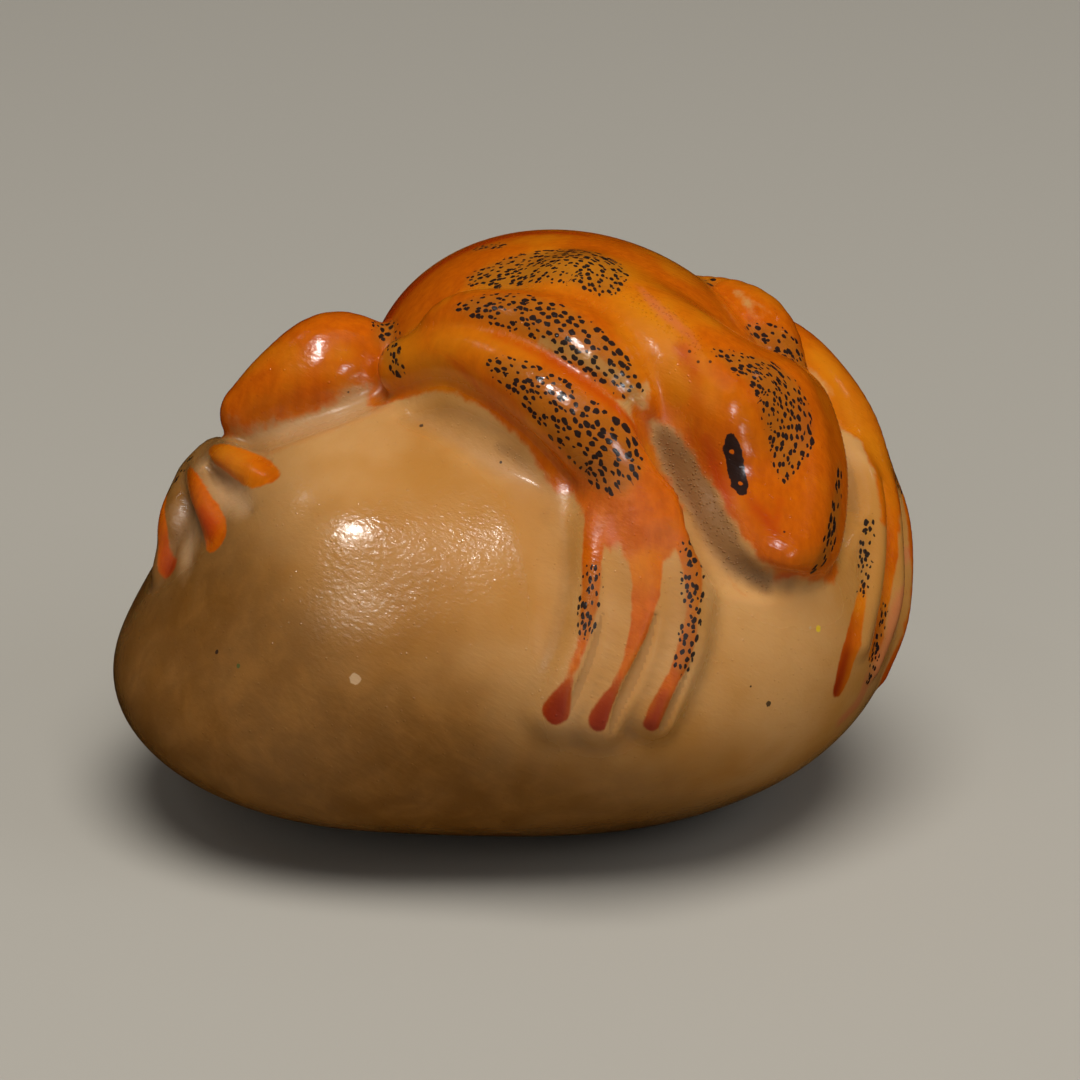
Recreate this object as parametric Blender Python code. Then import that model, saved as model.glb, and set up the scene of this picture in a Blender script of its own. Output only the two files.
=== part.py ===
"""A frog clinging to a tagua nut, carved from the one nut: a single solid, worked from the nut outwards.

X runs along the nut, +Z is up, and the nut rests on a small flat spot at Z = 0. All sizes are millimetres.
"""
import math

import bmesh
import bpy
import numpy as np

MM = 0.001
CENTRE = np.array((0.04, -0.3, 0))  # the middle of the nut's box, which the origin is put under
HEART = np.array((4.0, 0, 17.0))  # a point inside from which the whole skin can be seen
SQUARES_ACROSS = 96  # squares along each edge of the ball that the skin is shot from
TRIANGLES = 9700
EVENING_STEPS = 20  # rounds of spreading the skin's points out evenly
FLAT_CUT = 0.5  # how much is rubbed off the underside, so that the nut doesn't roll
TURN_OF_FROG = -47  # degrees that the frog's spine is turned from the nut's long axis

# Limbs and valleys are runs of (x, y, z, radius). All but the hind legs and the neck are laid on the nut's
# surface afterwards, so their x, y, z need only be near it; a LIFT is how far above it each centre stands.
RIGHT_UPPER_ARM = [(-6.5, -3.5, 32, 1.4), (-4, -4, 33.5, 2.0), (-0.6, -6, 34, 2.3), (2.5, -8, 34, 2.5),
                   (5, -10, 33, 2.6), (6.8, -11.5, 31, 2.0), (7.6, -12.5, 29, 1.2)]
RIGHT_FOREARM = [(-8.2, -3.2, 30.7, 1.9), (-4.5, -5.8, 32.2, 1.9), (-1.3, -8.2, 32.2, 2.2),
                 (1.8, -10.8, 31.2, 2.5), (4.5, -12.8, 29.5, 2.8), (6.6, -14.2, 27.5, 2.8),
                 (8.1, -15.4, 25.4, 2.5)]
RIGHT_PALM = [
    [(6.4, -14.6, 27.5, 1.9), (6.4, -16.3, 24, 1.9), (6.4, -17.6, 21.3, 1.8), (5.7, -18.6, 18.1, 1.7),
     (4.6, -19, 15.4, 1.4)],
    [(7.8, -14.9, 26.5, 1.8), (8.8, -16, 23.8, 1.9), (9.2, -17.2, 20.8, 1.8), (8.8, -18, 17.8, 1.6),
     (7.7, -18.4, 15.2, 1.4)],
]
RIGHT_FINGERS = [
    [(5.7, -14.8, 26.5, 1.4), (5.1, -16.4, 24.4, 1.2), (4.9, -17.6, 21.8, 1.1), (4.3, -18.8, 18.6, 1.0),
     (3.2, -19.2, 15.8, 1.1), (2.6, -19.4, 14, 1.2)],
    [(7, -14.8, 26.5, 1.4), (7.6, -16.3, 23.8, 1.2), (8, -17.6, 20.8, 1.0), (7.3, -18.4, 17.6, 0.9),
     (6.1, -18.8, 15, 1.0), (5.3, -18.9, 13.6, 1.1)],
    [(9.3, -14.9, 26.2, 1.5), (10.2, -15.8, 23.8, 1.4), (10.6, -16.9, 20.8, 1.1), (10.3, -17.6, 18, 1.0),
     (9.4, -18, 15.8, 1.0), (8.4, -18.2, 13.8, 1.1)],
]
RIGHT_FINGER_LIFTS = [-0.4, -0.1, -0.1]
LEFT_UPPER_ARM = [(7.8, 9.8, 31, 1.2), (10.3, 7.6, 32, 1.4), (13, 4.6, 32.5, 2.0), (15.6, 1.2, 31.4, 2.6),
                  (17.4, -1.4, 29.2, 2.0)]
LEFT_UPPER_ARM_LIFT = [-1.9, -2.1, -1.25, -0.1, -0.5]
LEFT_FOREARM = [(7.7, 10.2, 31, 1.8), (11.5, 9.6, 31, 2.1), (15, 7.8, 30.6, 2.6), (18, 5, 29.4, 3.0),
                (20, 2.8, 27.5, 3.0), (21.4, 1, 25, 2.8), (22.4, -0.8, 22.2, 2.2), (22.9, -2, 19.6, 1.6)]
LEFT_FINGERS = [
    [(22.3, 0, 23.5, 1.3), (23.3, 0, 20.5, 1.3), (23.8, -1.5, 17.5, 1.1), (23.4, -3.5, 13.5, 0.8),
     (22.4, -5, 10.5, 0.5)],
    [(21.8, -1.5, 24.2, 1.3), (22.8, -2.5, 21.5, 1.4), (22.9, -4.5, 18.5, 1.1), (22.6, -6, 15.5, 0.9),
     (21.7, -8.3, 12.5, 0.6)],
    [(21.2, -2.3, 24.5, 1.2), (21.6, -4, 22.5, 1.3), (21.6, -6.5, 20, 1.1), (21.2, -8.6, 17.4, 0.9),
     (20.6, -10, 14.8, 0.7)],
]
LEFT_FINGER_LIFT = [-0.5, -0.1, -0.1, -0.2, -0.4]
RIGHT_HIND_LEG = [(-8.4, 1.5, 28.4, 2.2), (-10.8, 1.5, 28.4, 2.9), (-13.1, 1.4, 26.8, 2.5),
                  (-15.4, 1.4, 24.6, 1.9)]
RIGHT_HIND_TOES = [
    [(-18.6, 1.8, 22.5, 1.3), (-17.4, -2.8, 23.9, 1.2), (-16.0, -5.5, 24.4, 1.0), (-14.8, -7.0, 24.3, 0.6)],
    [(-19.2, 1, 22, 1.6), (-19.0, -3, 22.2, 1.3), (-18.4, -5.8, 21.4, 1.0), (-17.8, -7.6, 20.7, 0.6)],
    [(-20, 1.5, 21.2, 1.7), (-21.4, -0.8, 20, 1.6), (-22.3, -1.9, 18.7, 1.3), (-22.7, -3.2, 17.5, 1.1)],
]
RIGHT_TOE_LIFTS = [[0, 0, -0.3, -0.65], [0, 0, -0.3, -0.7], [0, 0, -0.4, -0.5]]
THIGH_HOLLOW = [(-16.2, -1.2, 24.8, 1.6), (-13.8, -2.3, 25.8, 2.6), (-11.3, -2.5, 26.9, 2.8),
                (-9.0, -2.2, 27.8, 2.2)]
THIGH_HOLLOW_LIFT = [1.2, 1.8, 1.9, 1.5]
THIGH_FACE = [(-15.8, 1.2, 25.2, 1.7), (-13.4, 1.0, 26.8, 2.4), (-10.9, 0.9, 27.9, 2.7),
              (-9.2, 1.0, 28.2, 2.3)]
LEFT_HIND_LEG = [(8.6, 11.5, 28.4, 2.2), (6.4, 13.2, 28.2, 2.9), (4.0, 14.6, 26.8, 2.7),
                 (1.8, 15.6, 24.6, 2.0)]
LEFT_HIND_TOES = [
    [(-1, 17.5, 23, 1.6), (3, 18.5, 22.5, 1.3), (7, 18.5, 21.5, 1.0)],
    [(-2, 18, 22, 1.6), (1, 19, 20, 1.3), (5, 19, 17.5, 1.0)],
    [(-3, 17.8, 22, 1.6), (-3, 19, 18.5, 1.3), (0, 19.3, 15.5, 1.0)],
]
NECK = [(4, -3, 32, 4.6), (9, -6.5, 31, 4.0), (12.5, -8.8, 29.3, 3.4)]
NECK_VALLEY = [(5.6, -11.2, 32.4, 0.2), (6.8, -11.9, 31.2, 0.5), (7.8, -12.6, 30, 0.8),
               (8.9, -13.4, 28.2, 1.0), (10.0, -14.2, 26.4, 1.0), (10.8, -15, 24.6, 1.0),
               (11.8, -15.6, 22.9, 1.0), (13.4, -15.7, 21.4, 1.0), (16.5, -14.5, 20.2, 0.8)]
NECK_VALLEY_LIFT = [2.0, 1.7, 1.1, 0.6, 0.4, 0.4, 0.5, 0.7, 0.8]
FAR_VALLEY = [(18.6, -2.4, 28, 0.5), (20.0, -4.2, 25.5, 1.2), (20.3, -7, 23, 1.4), (19.6, -10, 20.5, 0.6)]


def rotation(turn):
    """Matrix that turns by degrees about X, then Y, then Z."""
    x, y, z = (math.radians(t) for t in turn)
    about_x = np.array([[1, 0, 0], [0, math.cos(x), -math.sin(x)], [0, math.sin(x), math.cos(x)]])
    about_y = np.array([[math.cos(y), 0, math.sin(y)], [0, 1, 0], [-math.sin(y), 0, math.cos(y)]])
    about_z = np.array([[math.cos(z), -math.sin(z), 0], [math.sin(z), math.cos(z), 0], [0, 0, 1]])
    return about_z @ about_y @ about_x


def ellipsoid(points, centre, radii, turn=(0, 0, 0)):
    """Signed distance to an ellipsoid: below zero inside."""
    local = (points - np.array(centre)) @ rotation(turn)
    radii = np.array(radii, float)
    near = np.linalg.norm(local / radii, axis=1)
    slope = np.linalg.norm(local / radii**2, axis=1)
    return near * (near - 1) / np.maximum(slope, 1e-9)


def smooth_path(stops, steps=5):
    """A smooth run of (x, y, z, radius) through the stops."""
    s = np.array(stops, float)
    s = np.concatenate([[2 * s[0] - s[1]], s, [2 * s[-1] - s[-2]]])
    run = []
    for i in range(1, len(s) - 2):
        for t in np.arange(steps) / steps:
            slope = s[i + 1] - s[i - 1]
            bend = 2 * s[i - 1] - 5 * s[i] + 4 * s[i + 1] - s[i + 2]
            twist = -s[i - 1] + 3 * s[i] - 3 * s[i + 1] + s[i + 2]
            run.append(s[i] + (slope * t + bend * t**2 + twist * t**3) / 2)
    run.append(s[-2])
    return np.array(run)


def tube(points, path):
    """Signed distance to a round limb whose thickness changes along its path."""
    found = np.full(len(points), 1e9)
    for start, end in zip(path[:-1], path[1:]):
        along = end[:3] - start[:3]
        share = np.clip((points - start[:3]) @ along / (along @ along), 0, 1)
        gap = np.linalg.norm(points - start[:3] - share[:, None] * along, axis=1)
        found = np.minimum(found, gap - start[3] - share * (end[3] - start[3]))
    return found


def merge(a, b, soft):
    """Joins two forms with a fillet of about that size."""
    h = np.clip(0.5 + 0.5 * (b - a) / soft, 0, 1)
    return b + (a - b) * h - soft * h * (1 - h)


def carve(a, b, soft):
    """Cuts the second form out of the first with a softened edge."""
    return -merge(-a, b, soft)


def meet(a, b, soft):
    """Keeps what lies inside both forms, with a softened edge between them."""
    return -merge(-a, -b, soft)


def blank(points):
    """The nut, with the frog's body as a dome on it."""
    f = ellipsoid(points, (1.8, -0.3, 12.5), (19.25, 17.55, 9.15))
    f = merge(f, ellipsoid(points, (-11.7, -1.9, 9.6), (12.0, 13.15, 5.7)), 12.0)
    f = merge(f, ellipsoid(points, (-9.4, 0.1, 21.0), (5.8, 10.25, 4.8)), 12.0)
    f = merge(f, ellipsoid(points, (8.25, 0.6, 17.4), (12.95, 15.2, 13.6)), 12.0)
    return merge(f, ellipsoid(points, (3.7, 0.3, 25.6), (14.2, 11.0, 10.7), (0, 0, TURN_OF_FROG)), 1.0)


def laid(stops, lift):
    """Moves each stop onto the blank, its centre standing that far above it."""
    s = np.array(stops, float)
    p = s[:, :3].copy()
    for _ in range(8):
        f = blank(p)
        slope = np.stack([blank(p + 0.05 * a) - blank(p - 0.05 * a) for a in np.eye(3)], 1) / 0.1
        p -= slope * (f / (slope**2).sum(1))[:, None]
    p += slope / np.linalg.norm(slope, axis=1, keepdims=True) * np.reshape(lift, (-1, 1))
    return np.column_stack([p, s[:, 3]])


def head(points):
    """A wedge that narrows to the snout: a flat crown between two sloping cheeks."""
    nape, snout = np.array((15.2, -7.6, 32.2)), np.array((17.15, -16.2, 21.7))
    length = np.linalg.norm(snout - nape)
    along = (snout - nape) / length
    across = np.cross(along, (0, 0, 1))
    across /= np.linalg.norm(across)
    out = np.cross(across, along)
    q = points - nape
    a, w, o = q @ along, q @ across, q @ out
    share = np.clip(a / length, 0, 1)
    crown = 2.3 - 1.4 * share**2 + 0.7 * np.sin(math.pi * share)
    arch = -0.8 * (2 * share - 0.9) ** 2
    top = o - arch
    near = (w - crown - 0.3 - 0.5 * np.sin(math.pi * share) - 0.5 * share) * 0.66 + top * 0.75
    far = (-w - crown + 0.5) * 0.84 + top * 0.54
    cheek = np.maximum(near, far)
    form = meet(top, cheek, 1.2)
    form = meet(form, (a - length) * 0.97 - o * 0.1, 2.4)
    form = meet(form, -a - 1.0, 3.0)
    return meet(form, -o - 4.5, 1.0)


def knife_work():
    """Every limb and valley in the order it is worked: its path, the softness of its edges, and the tool."""
    work = [(smooth_path(leg), 0.6, merge) for leg in (RIGHT_HIND_LEG, LEFT_HIND_LEG)]
    work.append((smooth_path(laid(THIGH_HOLLOW, THIGH_HOLLOW_LIFT)), 1.4, carve))
    work.append((smooth_path(THIGH_FACE), 1.2, merge))
    work += [(smooth_path(laid(*toe)), 0.5, merge) for toe in zip(RIGHT_HIND_TOES, RIGHT_TOE_LIFTS)]
    work += [(smooth_path(laid(toe, 0)), 0.5, merge) for toe in LEFT_HIND_TOES]
    work.append((smooth_path(laid(LEFT_FOREARM, -0.9)), 0.4, merge))
    work.append((smooth_path(laid(LEFT_UPPER_ARM, LEFT_UPPER_ARM_LIFT)), 0.3, merge))
    work.append((smooth_path(laid(RIGHT_UPPER_ARM, -0.9)), 0.25, merge))
    work += [(smooth_path(laid(web, -1.0)), 1.3, merge) for web in RIGHT_PALM]
    work.append((smooth_path(laid(RIGHT_FOREARM, -0.7)), 0.4, merge))
    work += [(smooth_path(laid(*finger)), 1.2, merge) for finger in zip(RIGHT_FINGERS, RIGHT_FINGER_LIFTS)]
    work += [(smooth_path(laid(finger, LEFT_FINGER_LIFT)), 0.8, merge) for finger in LEFT_FINGERS]
    work.append((smooth_path(NECK), 0.6, add_head))
    work.append((smooth_path(laid(NECK_VALLEY, NECK_VALLEY_LIFT)), 0.6, carve))
    work.append((smooth_path(laid(FAR_VALLEY, 0.5)), 0.6, carve))
    return work


def add_head(body, neck, soft, points):
    return merge(body, merge(neck, head(points), 2.5), soft)


def carving(points, work):
    """The whole carving: each limb only changes the skin within its own reach."""
    f = blank(points)
    for path, soft, tool in work:
        reach = path[:, 3].max() + 2 * soft + (12 if tool is add_head else 0)
        low, high = path[:, :3].min(0) - reach, path[:, :3].max(0) + reach
        near = ((points > low) & (points < high)).all(1)
        there = points[near]
        if tool is add_head:
            f[near] = add_head(f[near], tube(there, path), soft, there)
        elif near.any():
            f[near] = tool(f[near], tube(there, path), soft)
    return f


def ball(n):
    """Directions and squares of a cube blown up to a ball, n squares to a side."""
    bm = bmesh.new()
    bmesh.ops.create_cube(bm, size=2)
    bmesh.ops.subdivide_edges(bm, edges=bm.edges[:], cuts=n - 1, use_grid_fill=True)
    bm.verts.index_update()
    co = np.array([v.co for v in bm.verts])
    faces = np.array([[v.index for v in f.verts] for f in bm.faces])
    bm.free()
    co = np.tan(co * math.pi / 4)
    return co / np.linalg.norm(co, axis=1, keepdims=True), faces


def normals(at, faces):
    face_normals = np.cross(at[faces[:, 2]] - at[faces[:, 0]], at[faces[:, 3]] - at[faces[:, 1]])
    total = np.zeros_like(at)
    for corner in range(4):
        np.add.at(total, faces[:, corner], face_normals)
    return total / np.linalg.norm(total, axis=1, keepdims=True)


def skin(n):
    """The carving's surface as squares: shot out from inside the nut, then evened out along it."""
    rays, faces = ball(n)
    work = knife_work()
    low, high = np.full(len(rays), 4.0), np.full(len(rays), 45.0)
    for _ in range(13):
        middle = (low + high) / 2
        inside = carving(HEART + rays * middle[:, None], work) < 0
        low = np.where(inside, middle, low)
        high = np.where(inside, high, middle)
    at = HEART + rays * low[:, None]
    for _ in range(EVENING_STEPS):
        mean = np.zeros_like(at)
        count = np.zeros(len(at))
        for corner in range(4):
            for step in (1, 3):
                np.add.at(mean, faces[:, corner], at[faces[:, (corner + step) % 4]])
                np.add.at(count, faces[:, corner], 1)
        drift = mean / count[:, None] - at
        out = normals(at, faces)
        at += 0.6 * (drift - out * (drift * out).sum(1)[:, None])
        at -= out * np.clip(carving(at, work), -0.4, 0.4)[:, None]
    return at - CENTRE, faces


def painted_nut():
    material = bpy.data.materials.new("polished tagua")
    material.use_nodes = True
    shader = material.node_tree.nodes["Principled BSDF"]
    shader.inputs["Base Color"].default_value = (0.55, 0.30, 0.12, 1)
    shader.inputs["Roughness"].default_value = 0.3
    shader.inputs["Metallic"].default_value = 0
    return material


def faceted(at, faces):
    """The skin brought down to fewer triangles, which gather where it bends most."""
    mesh = bpy.data.meshes.new("frog_skin")
    mesh.from_pydata((at * MM).tolist(), [], faces.tolist())
    skin_object = bpy.data.objects.new("frog_skin", mesh)
    bpy.context.scene.collection.objects.link(skin_object)
    facets = skin_object.modifiers.new("Facets", "DECIMATE")
    facets.ratio = TRIANGLES / (2 * len(faces))
    cut = skin_object.evaluated_get(bpy.context.evaluated_depsgraph_get())
    result = bpy.data.meshes.new_from_object(cut)
    bpy.data.objects.remove(skin_object)
    return result


def main():
    for old in list(bpy.data.objects):
        bpy.data.objects.remove(old)
    mesh = faceted(*skin(SQUARES_ACROSS))
    mesh.name = "frog_carving"
    for vertex in mesh.vertices:
        vertex.co.z = max(vertex.co.z, FLAT_CUT * MM) - FLAT_CUT * MM
    mesh.shade_smooth()
    mesh.materials.append(painted_nut())
    thing = bpy.data.objects.new("frog_carving", mesh)
    bpy.context.scene.collection.objects.link(thing)


main()
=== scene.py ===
"""A frog clinging to a tagua nut: one nut, carved, dyed orange, dotted with a pen and polished.

The carving is worked out in millimetres, X along the nut, +Z up, and made metres at the end.
"""
import math

import bmesh
import bpy
import numpy as np
from mathutils import Matrix


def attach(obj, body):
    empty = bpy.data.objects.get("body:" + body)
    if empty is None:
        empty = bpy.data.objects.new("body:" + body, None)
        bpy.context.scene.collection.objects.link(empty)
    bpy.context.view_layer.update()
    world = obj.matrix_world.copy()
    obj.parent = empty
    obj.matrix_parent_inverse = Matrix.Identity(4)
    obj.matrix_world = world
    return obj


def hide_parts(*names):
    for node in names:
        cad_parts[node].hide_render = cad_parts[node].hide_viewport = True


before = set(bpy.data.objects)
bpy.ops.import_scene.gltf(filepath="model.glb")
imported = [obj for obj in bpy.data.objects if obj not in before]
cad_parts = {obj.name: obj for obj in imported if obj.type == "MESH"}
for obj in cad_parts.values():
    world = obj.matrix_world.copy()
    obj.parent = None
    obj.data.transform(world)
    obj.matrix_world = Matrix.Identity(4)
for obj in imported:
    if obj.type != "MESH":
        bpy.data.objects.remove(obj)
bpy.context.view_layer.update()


# ------------ the nut
# A peeled and dried tagua nut: an egg with one blunt end and one drawn out low, and a dome left standing on
# it for the frog's back. The blank is what the carver starts from, so everything else is laid on it.
NUT_BELLY = ((1.8, -0.3, 12.5), (19.25, 17.55, 9.15))
NUT_SWELLINGS = {
    "low nose": ((-11.7, -1.9, 9.6), (12, 13.15, 5.7)),
    "brow above it": ((-9.4, 0.1, 21), (5.8, 10.25, 4.8)),
    "blunt end": ((8.25, 0.6, 17.4), (12.95, 15.2, 13.6)),
}
NUT_ROUNDNESS = 12
BACK_DOME = ((3.7, 0.3, 25.6), (14.2, 11, 10.7), (0, 0, -47))
BACK_EDGE = 1


def rotation(turn):
    """Matrix that turns by degrees about X, then Y, then Z."""
    x, y, z = (math.radians(t) for t in turn)
    about_x = np.array([[1, 0, 0], [0, math.cos(x), -math.sin(x)], [0, math.sin(x), math.cos(x)]])
    about_y = np.array([[math.cos(y), 0, math.sin(y)], [0, 1, 0], [-math.sin(y), 0, math.cos(y)]])
    about_z = np.array([[math.cos(z), -math.sin(z), 0], [math.sin(z), math.cos(z), 0], [0, 0, 1]])
    return about_z @ about_y @ about_x


def ellipsoid(points, centre, radii, turn=(0, 0, 0)):
    """Signed distance to an ellipsoid: below zero inside."""
    local = (points - np.array(centre)) @ rotation(turn)
    radii = np.array(radii, float)
    near = np.linalg.norm(local / radii, axis=1)
    slope = np.linalg.norm(local / radii**2, axis=1)
    return near * (near - 1) / np.maximum(slope, 1e-9)


def merge(a, b, soft):
    """Joins two forms with a fillet of about that size."""
    h = np.clip(0.5 + 0.5 * (b - a) / soft, 0, 1)
    return b + (a - b) * h - soft * h * (1 - h)


def carve(a, b, soft):
    """Cuts the second form out of the first with a softened edge."""
    return -merge(-a, b, soft)


def meet(a, b, soft):
    """Keeps what lies inside both forms, with a softened edge between them."""
    return -merge(-a, -b, soft)


def back_dome(points):
    return ellipsoid(points, *BACK_DOME)


def blank(points):
    """Signed distance to the nut with the frog's back on it, before any limb is cut."""
    f = ellipsoid(points, *NUT_BELLY)
    for centre, radii in NUT_SWELLINGS.values():
        f = merge(f, ellipsoid(points, centre, radii), NUT_ROUNDNESS)
    return merge(f, back_dome(points), BACK_EDGE)


# ------------ arms, hands and feet
# Limbs left standing in low relief. Each is a run of (x, y, z, radius) stops; all but the hind legs are
# laid on the blank's surface at a lift, so their x, y, z need only be near it.
RIGHT_UPPER_ARM = [
    (-6.5, -3.5, 32, 1.4), (-4, -4, 33.5, 2), (-0.6, -6, 34, 2.3), (2.5, -8, 34, 2.5), (5, -10, 33, 2.6),
    (6.8, -11.5, 31, 2), (7.6, -12.5, 29, 1.2),
]
RIGHT_FOREARM = [
    (-8.2, -3.2, 30.7, 1.9), (-4.5, -5.8, 32.2, 1.9), (-1.3, -8.2, 32.2, 2.2), (1.8, -10.8, 31.2, 2.5),
    (4.5, -12.8, 29.5, 2.8), (6.6, -14.2, 27.5, 2.8), (8.1, -15.4, 25.4, 2.5),
]
RIGHT_PALM = [
    [(6.4, -14.6, 27.5, 1.9), (6.4, -16.3, 24, 1.9), (6.4, -17.6, 21.3, 1.8), (5.7, -18.6, 18.1, 1.7),
     (4.6, -19, 15.4, 1.4)],
    [(7.8, -14.9, 26.5, 1.8), (8.8, -16, 23.8, 1.9), (9.2, -17.2, 20.8, 1.8), (8.8, -18, 17.8, 1.6),
     (7.7, -18.4, 15.2, 1.4)],
]
RIGHT_FINGERS = [
    [(5.7, -14.8, 26.5, 1.4), (5.1, -16.4, 24.4, 1.2), (4.9, -17.6, 21.8, 1.1), (4.3, -18.8, 18.6, 1),
     (3.2, -19.2, 15.8, 1.1), (2.6, -19.4, 14, 1.2)],
    [(7, -14.8, 26.5, 1.4), (7.6, -16.3, 23.8, 1.2), (8, -17.6, 20.8, 1), (7.3, -18.4, 17.6, 0.9),
     (6.1, -18.8, 15, 1), (5.3, -18.9, 13.6, 1.1)],
    [(9.3, -14.9, 26.2, 1.5), (10.2, -15.8, 23.8, 1.4), (10.6, -16.9, 20.8, 1.1), (10.3, -17.6, 18, 1),
     (9.4, -18, 15.8, 1), (8.4, -18.2, 13.8, 1.1)],
]
RIGHT_FINGER_LIFTS = [-0.4, -0.1, -0.1]
LEFT_UPPER_ARM = [
    (7.8, 9.8, 31, 1.2), (10.3, 7.6, 32, 1.4), (13, 4.6, 32.5, 2), (15.6, 1.2, 31.4, 2.6),
    (17.4, -1.4, 29.2, 2),
]
LEFT_UPPER_ARM_LIFT = [-1.9, -2.1, -1.25, -0.1, -0.5]
LEFT_FOREARM = [
    (7.7, 10.2, 31, 1.8), (11.5, 9.6, 31, 2.1), (15, 7.8, 30.6, 2.6), (18, 5, 29.4, 3), (20, 2.8, 27.5, 3),
    (21.4, 1, 25, 2.8), (22.4, -0.8, 22.2, 2.2), (22.9, -2, 19.6, 1.6),
]
LEFT_FINGERS = [
    [(22.3, 0, 23.5, 1.3), (23.3, 0, 20.5, 1.3), (23.8, -1.5, 17.5, 1.1), (23.4, -3.5, 13.5, 0.8),
     (22.4, -5, 10.5, 0.5)],
    [(21.8, -1.5, 24.2, 1.3), (22.8, -2.5, 21.5, 1.4), (22.9, -4.5, 18.5, 1.1), (22.6, -6, 15.5, 0.9),
     (21.7, -8.3, 12.5, 0.6)],
    [(21.2, -2.3, 24.5, 1.2), (21.6, -4, 22.5, 1.3), (21.6, -6.5, 20, 1.1), (21.2, -8.6, 17.4, 0.9),
     (20.6, -10, 14.8, 0.7)],
]
LEFT_FINGER_LIFT = [-0.5, -0.1, -0.1, -0.2, -0.4]
RIGHT_HIND_LEG = [
    (-8.4, 1.5, 28.4, 2.2), (-10.8, 1.5, 28.4, 2.9), (-13.1, 1.4, 26.8, 2.5), (-15.4, 1.4, 24.6, 1.9),
]
RIGHT_HIND_TOES = [
    [(-18.6, 1.8, 22.5, 1.3), (-17.4, -2.8, 23.9, 1.2), (-16, -5.5, 24.4, 1), (-14.8, -7, 24.3, 0.6)],
    [(-19.2, 1, 22, 1.6), (-19, -3, 22.2, 1.3), (-18.4, -5.8, 21.4, 1), (-17.8, -7.6, 20.7, 0.6)],
    [(-20, 1.5, 21.2, 1.7), (-21.4, -0.8, 20, 1.6), (-22.3, -1.9, 18.7, 1.3), (-22.7, -3.2, 17.5, 1.1)],
]
RIGHT_TOE_LIFTS = [[0, 0, -0.3, -0.65], [0, 0, -0.3, -0.7], [0, 0, -0.4, -0.5]]
THIGH_HOLLOW = [
    (-16.2, -1.2, 24.8, 1.6), (-13.8, -2.3, 25.8, 2.6), (-11.3, -2.5, 26.9, 2.8), (-9, -2.2, 27.8, 2.2),
]
THIGH_HOLLOW_LIFT = [1.2, 1.8, 1.9, 1.5]
THIGH_FACE = [(-15.8, 1.2, 25.2, 1.7), (-13.4, 1, 26.8, 2.4), (-10.9, 0.9, 27.9, 2.7), (-9.2, 1, 28.2, 2.3)]
LEFT_HIND_LEG = [(8.6, 11.5, 28.4, 2.2), (6.4, 13.2, 28.2, 2.9), (4, 14.6, 26.8, 2.7), (1.8, 15.6, 24.6, 2)]
LEFT_HIND_TOES = [
    [(-1, 17.5, 23, 1.6), (3, 18.5, 22.5, 1.3), (7, 18.5, 21.5, 1)],
    [(-2, 18, 22, 1.6), (1, 19, 20, 1.3), (5, 19, 17.5, 1)],
    [(-3, 17.8, 22, 1.6), (-3, 19, 18.5, 1.3), (0, 19.3, 15.5, 1)],
]
SLOPE_PROBE, LAYING_STEPS = 0.05, 8


def smooth_path(stops, steps=5):
    """A smooth run of (x, y, z, radius) through the stops."""
    s = np.array(stops, float)
    s = np.concatenate([[2 * s[0] - s[1]], s, [2 * s[-1] - s[-2]]])
    run = []
    for i in range(1, len(s) - 2):
        for t in np.arange(steps) / steps:
            slope = s[i + 1] - s[i - 1]
            bend = 2 * s[i - 1] - 5 * s[i] + 4 * s[i + 1] - s[i + 2]
            twist = -s[i - 1] + 3 * s[i] - 3 * s[i + 1] + s[i + 2]
            run.append(s[i] + (slope * t + bend * t**2 + twist * t**3) / 2)
    run.append(s[-2])
    return np.array(run)


def tube(points, path):
    """Signed distance to a round limb whose thickness changes along its path."""
    found = np.full(len(points), 1e9)
    for start, end in zip(path[:-1], path[1:]):
        along = end[:3] - start[:3]
        share = np.clip((points - start[:3]) @ along / (along @ along), 0, 1)
        gap = np.linalg.norm(points - start[:3] - share[:, None] * along, axis=1)
        found = np.minimum(found, gap - start[3] - share * (end[3] - start[3]))
    return found


def laid(stops, lift):
    """Moves each stop onto the blank, its centre standing that far above it."""
    s = np.array(stops, float)
    p = s[:, :3].copy()
    for _ in range(LAYING_STEPS):
        f = blank(p)
        ahead, behind = [[blank(p + side * a) for a in np.eye(3)] for side in (SLOPE_PROBE, -SLOPE_PROBE)]
        slope = (np.array(ahead) - behind).T / (2 * SLOPE_PROBE)
        p -= slope * (f / (slope**2).sum(1))[:, None]
    p += slope / np.linalg.norm(slope, axis=1, keepdims=True) * np.reshape(lift, (-1, 1))
    return np.column_stack([p, s[:, 3]])


# ------------ the head
# A wedge that narrows to the snout, with a flat crown between two sloping cheeks, left standing above the
# neck and looking down the side of the nut. Two valleys part it from the arms.
NECK = [(4, -3, 32, 4.6), (9, -6.5, 31, 4), (12.5, -8.8, 29.3, 3.4)]
NAPE = np.array((15.2, -7.6, 32.2))
SNOUT = np.array((17.15, -16.2, 21.7))
HEAD_LENGTH = np.linalg.norm(SNOUT - NAPE)
HEAD_ALONG = (SNOUT - NAPE) / HEAD_LENGTH
HEAD_ACROSS = np.cross(HEAD_ALONG, (0, 0, 1))
HEAD_ACROSS /= np.linalg.norm(HEAD_ACROSS)
HEAD_OUT = np.cross(HEAD_ACROSS, HEAD_ALONG)
CROWN_WIDTH, CROWN_TAPER, CROWN_SWELL = 2.3, 1.4, 0.7
CROWN_ARCH, CROWN_TOP_AT = 3.2, 0.45
NEAR_CHEEK_OUT, NEAR_CHEEK_SWELL, NEAR_CHEEK_SLOPE = 0.3, 0.5, (0.66, 0.75)
FAR_CHEEK_IN, FAR_CHEEK_SLOPE = 0.5, (0.84, 0.54)
SNOUT_SLOPE = (0.97, 0.1)
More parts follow.
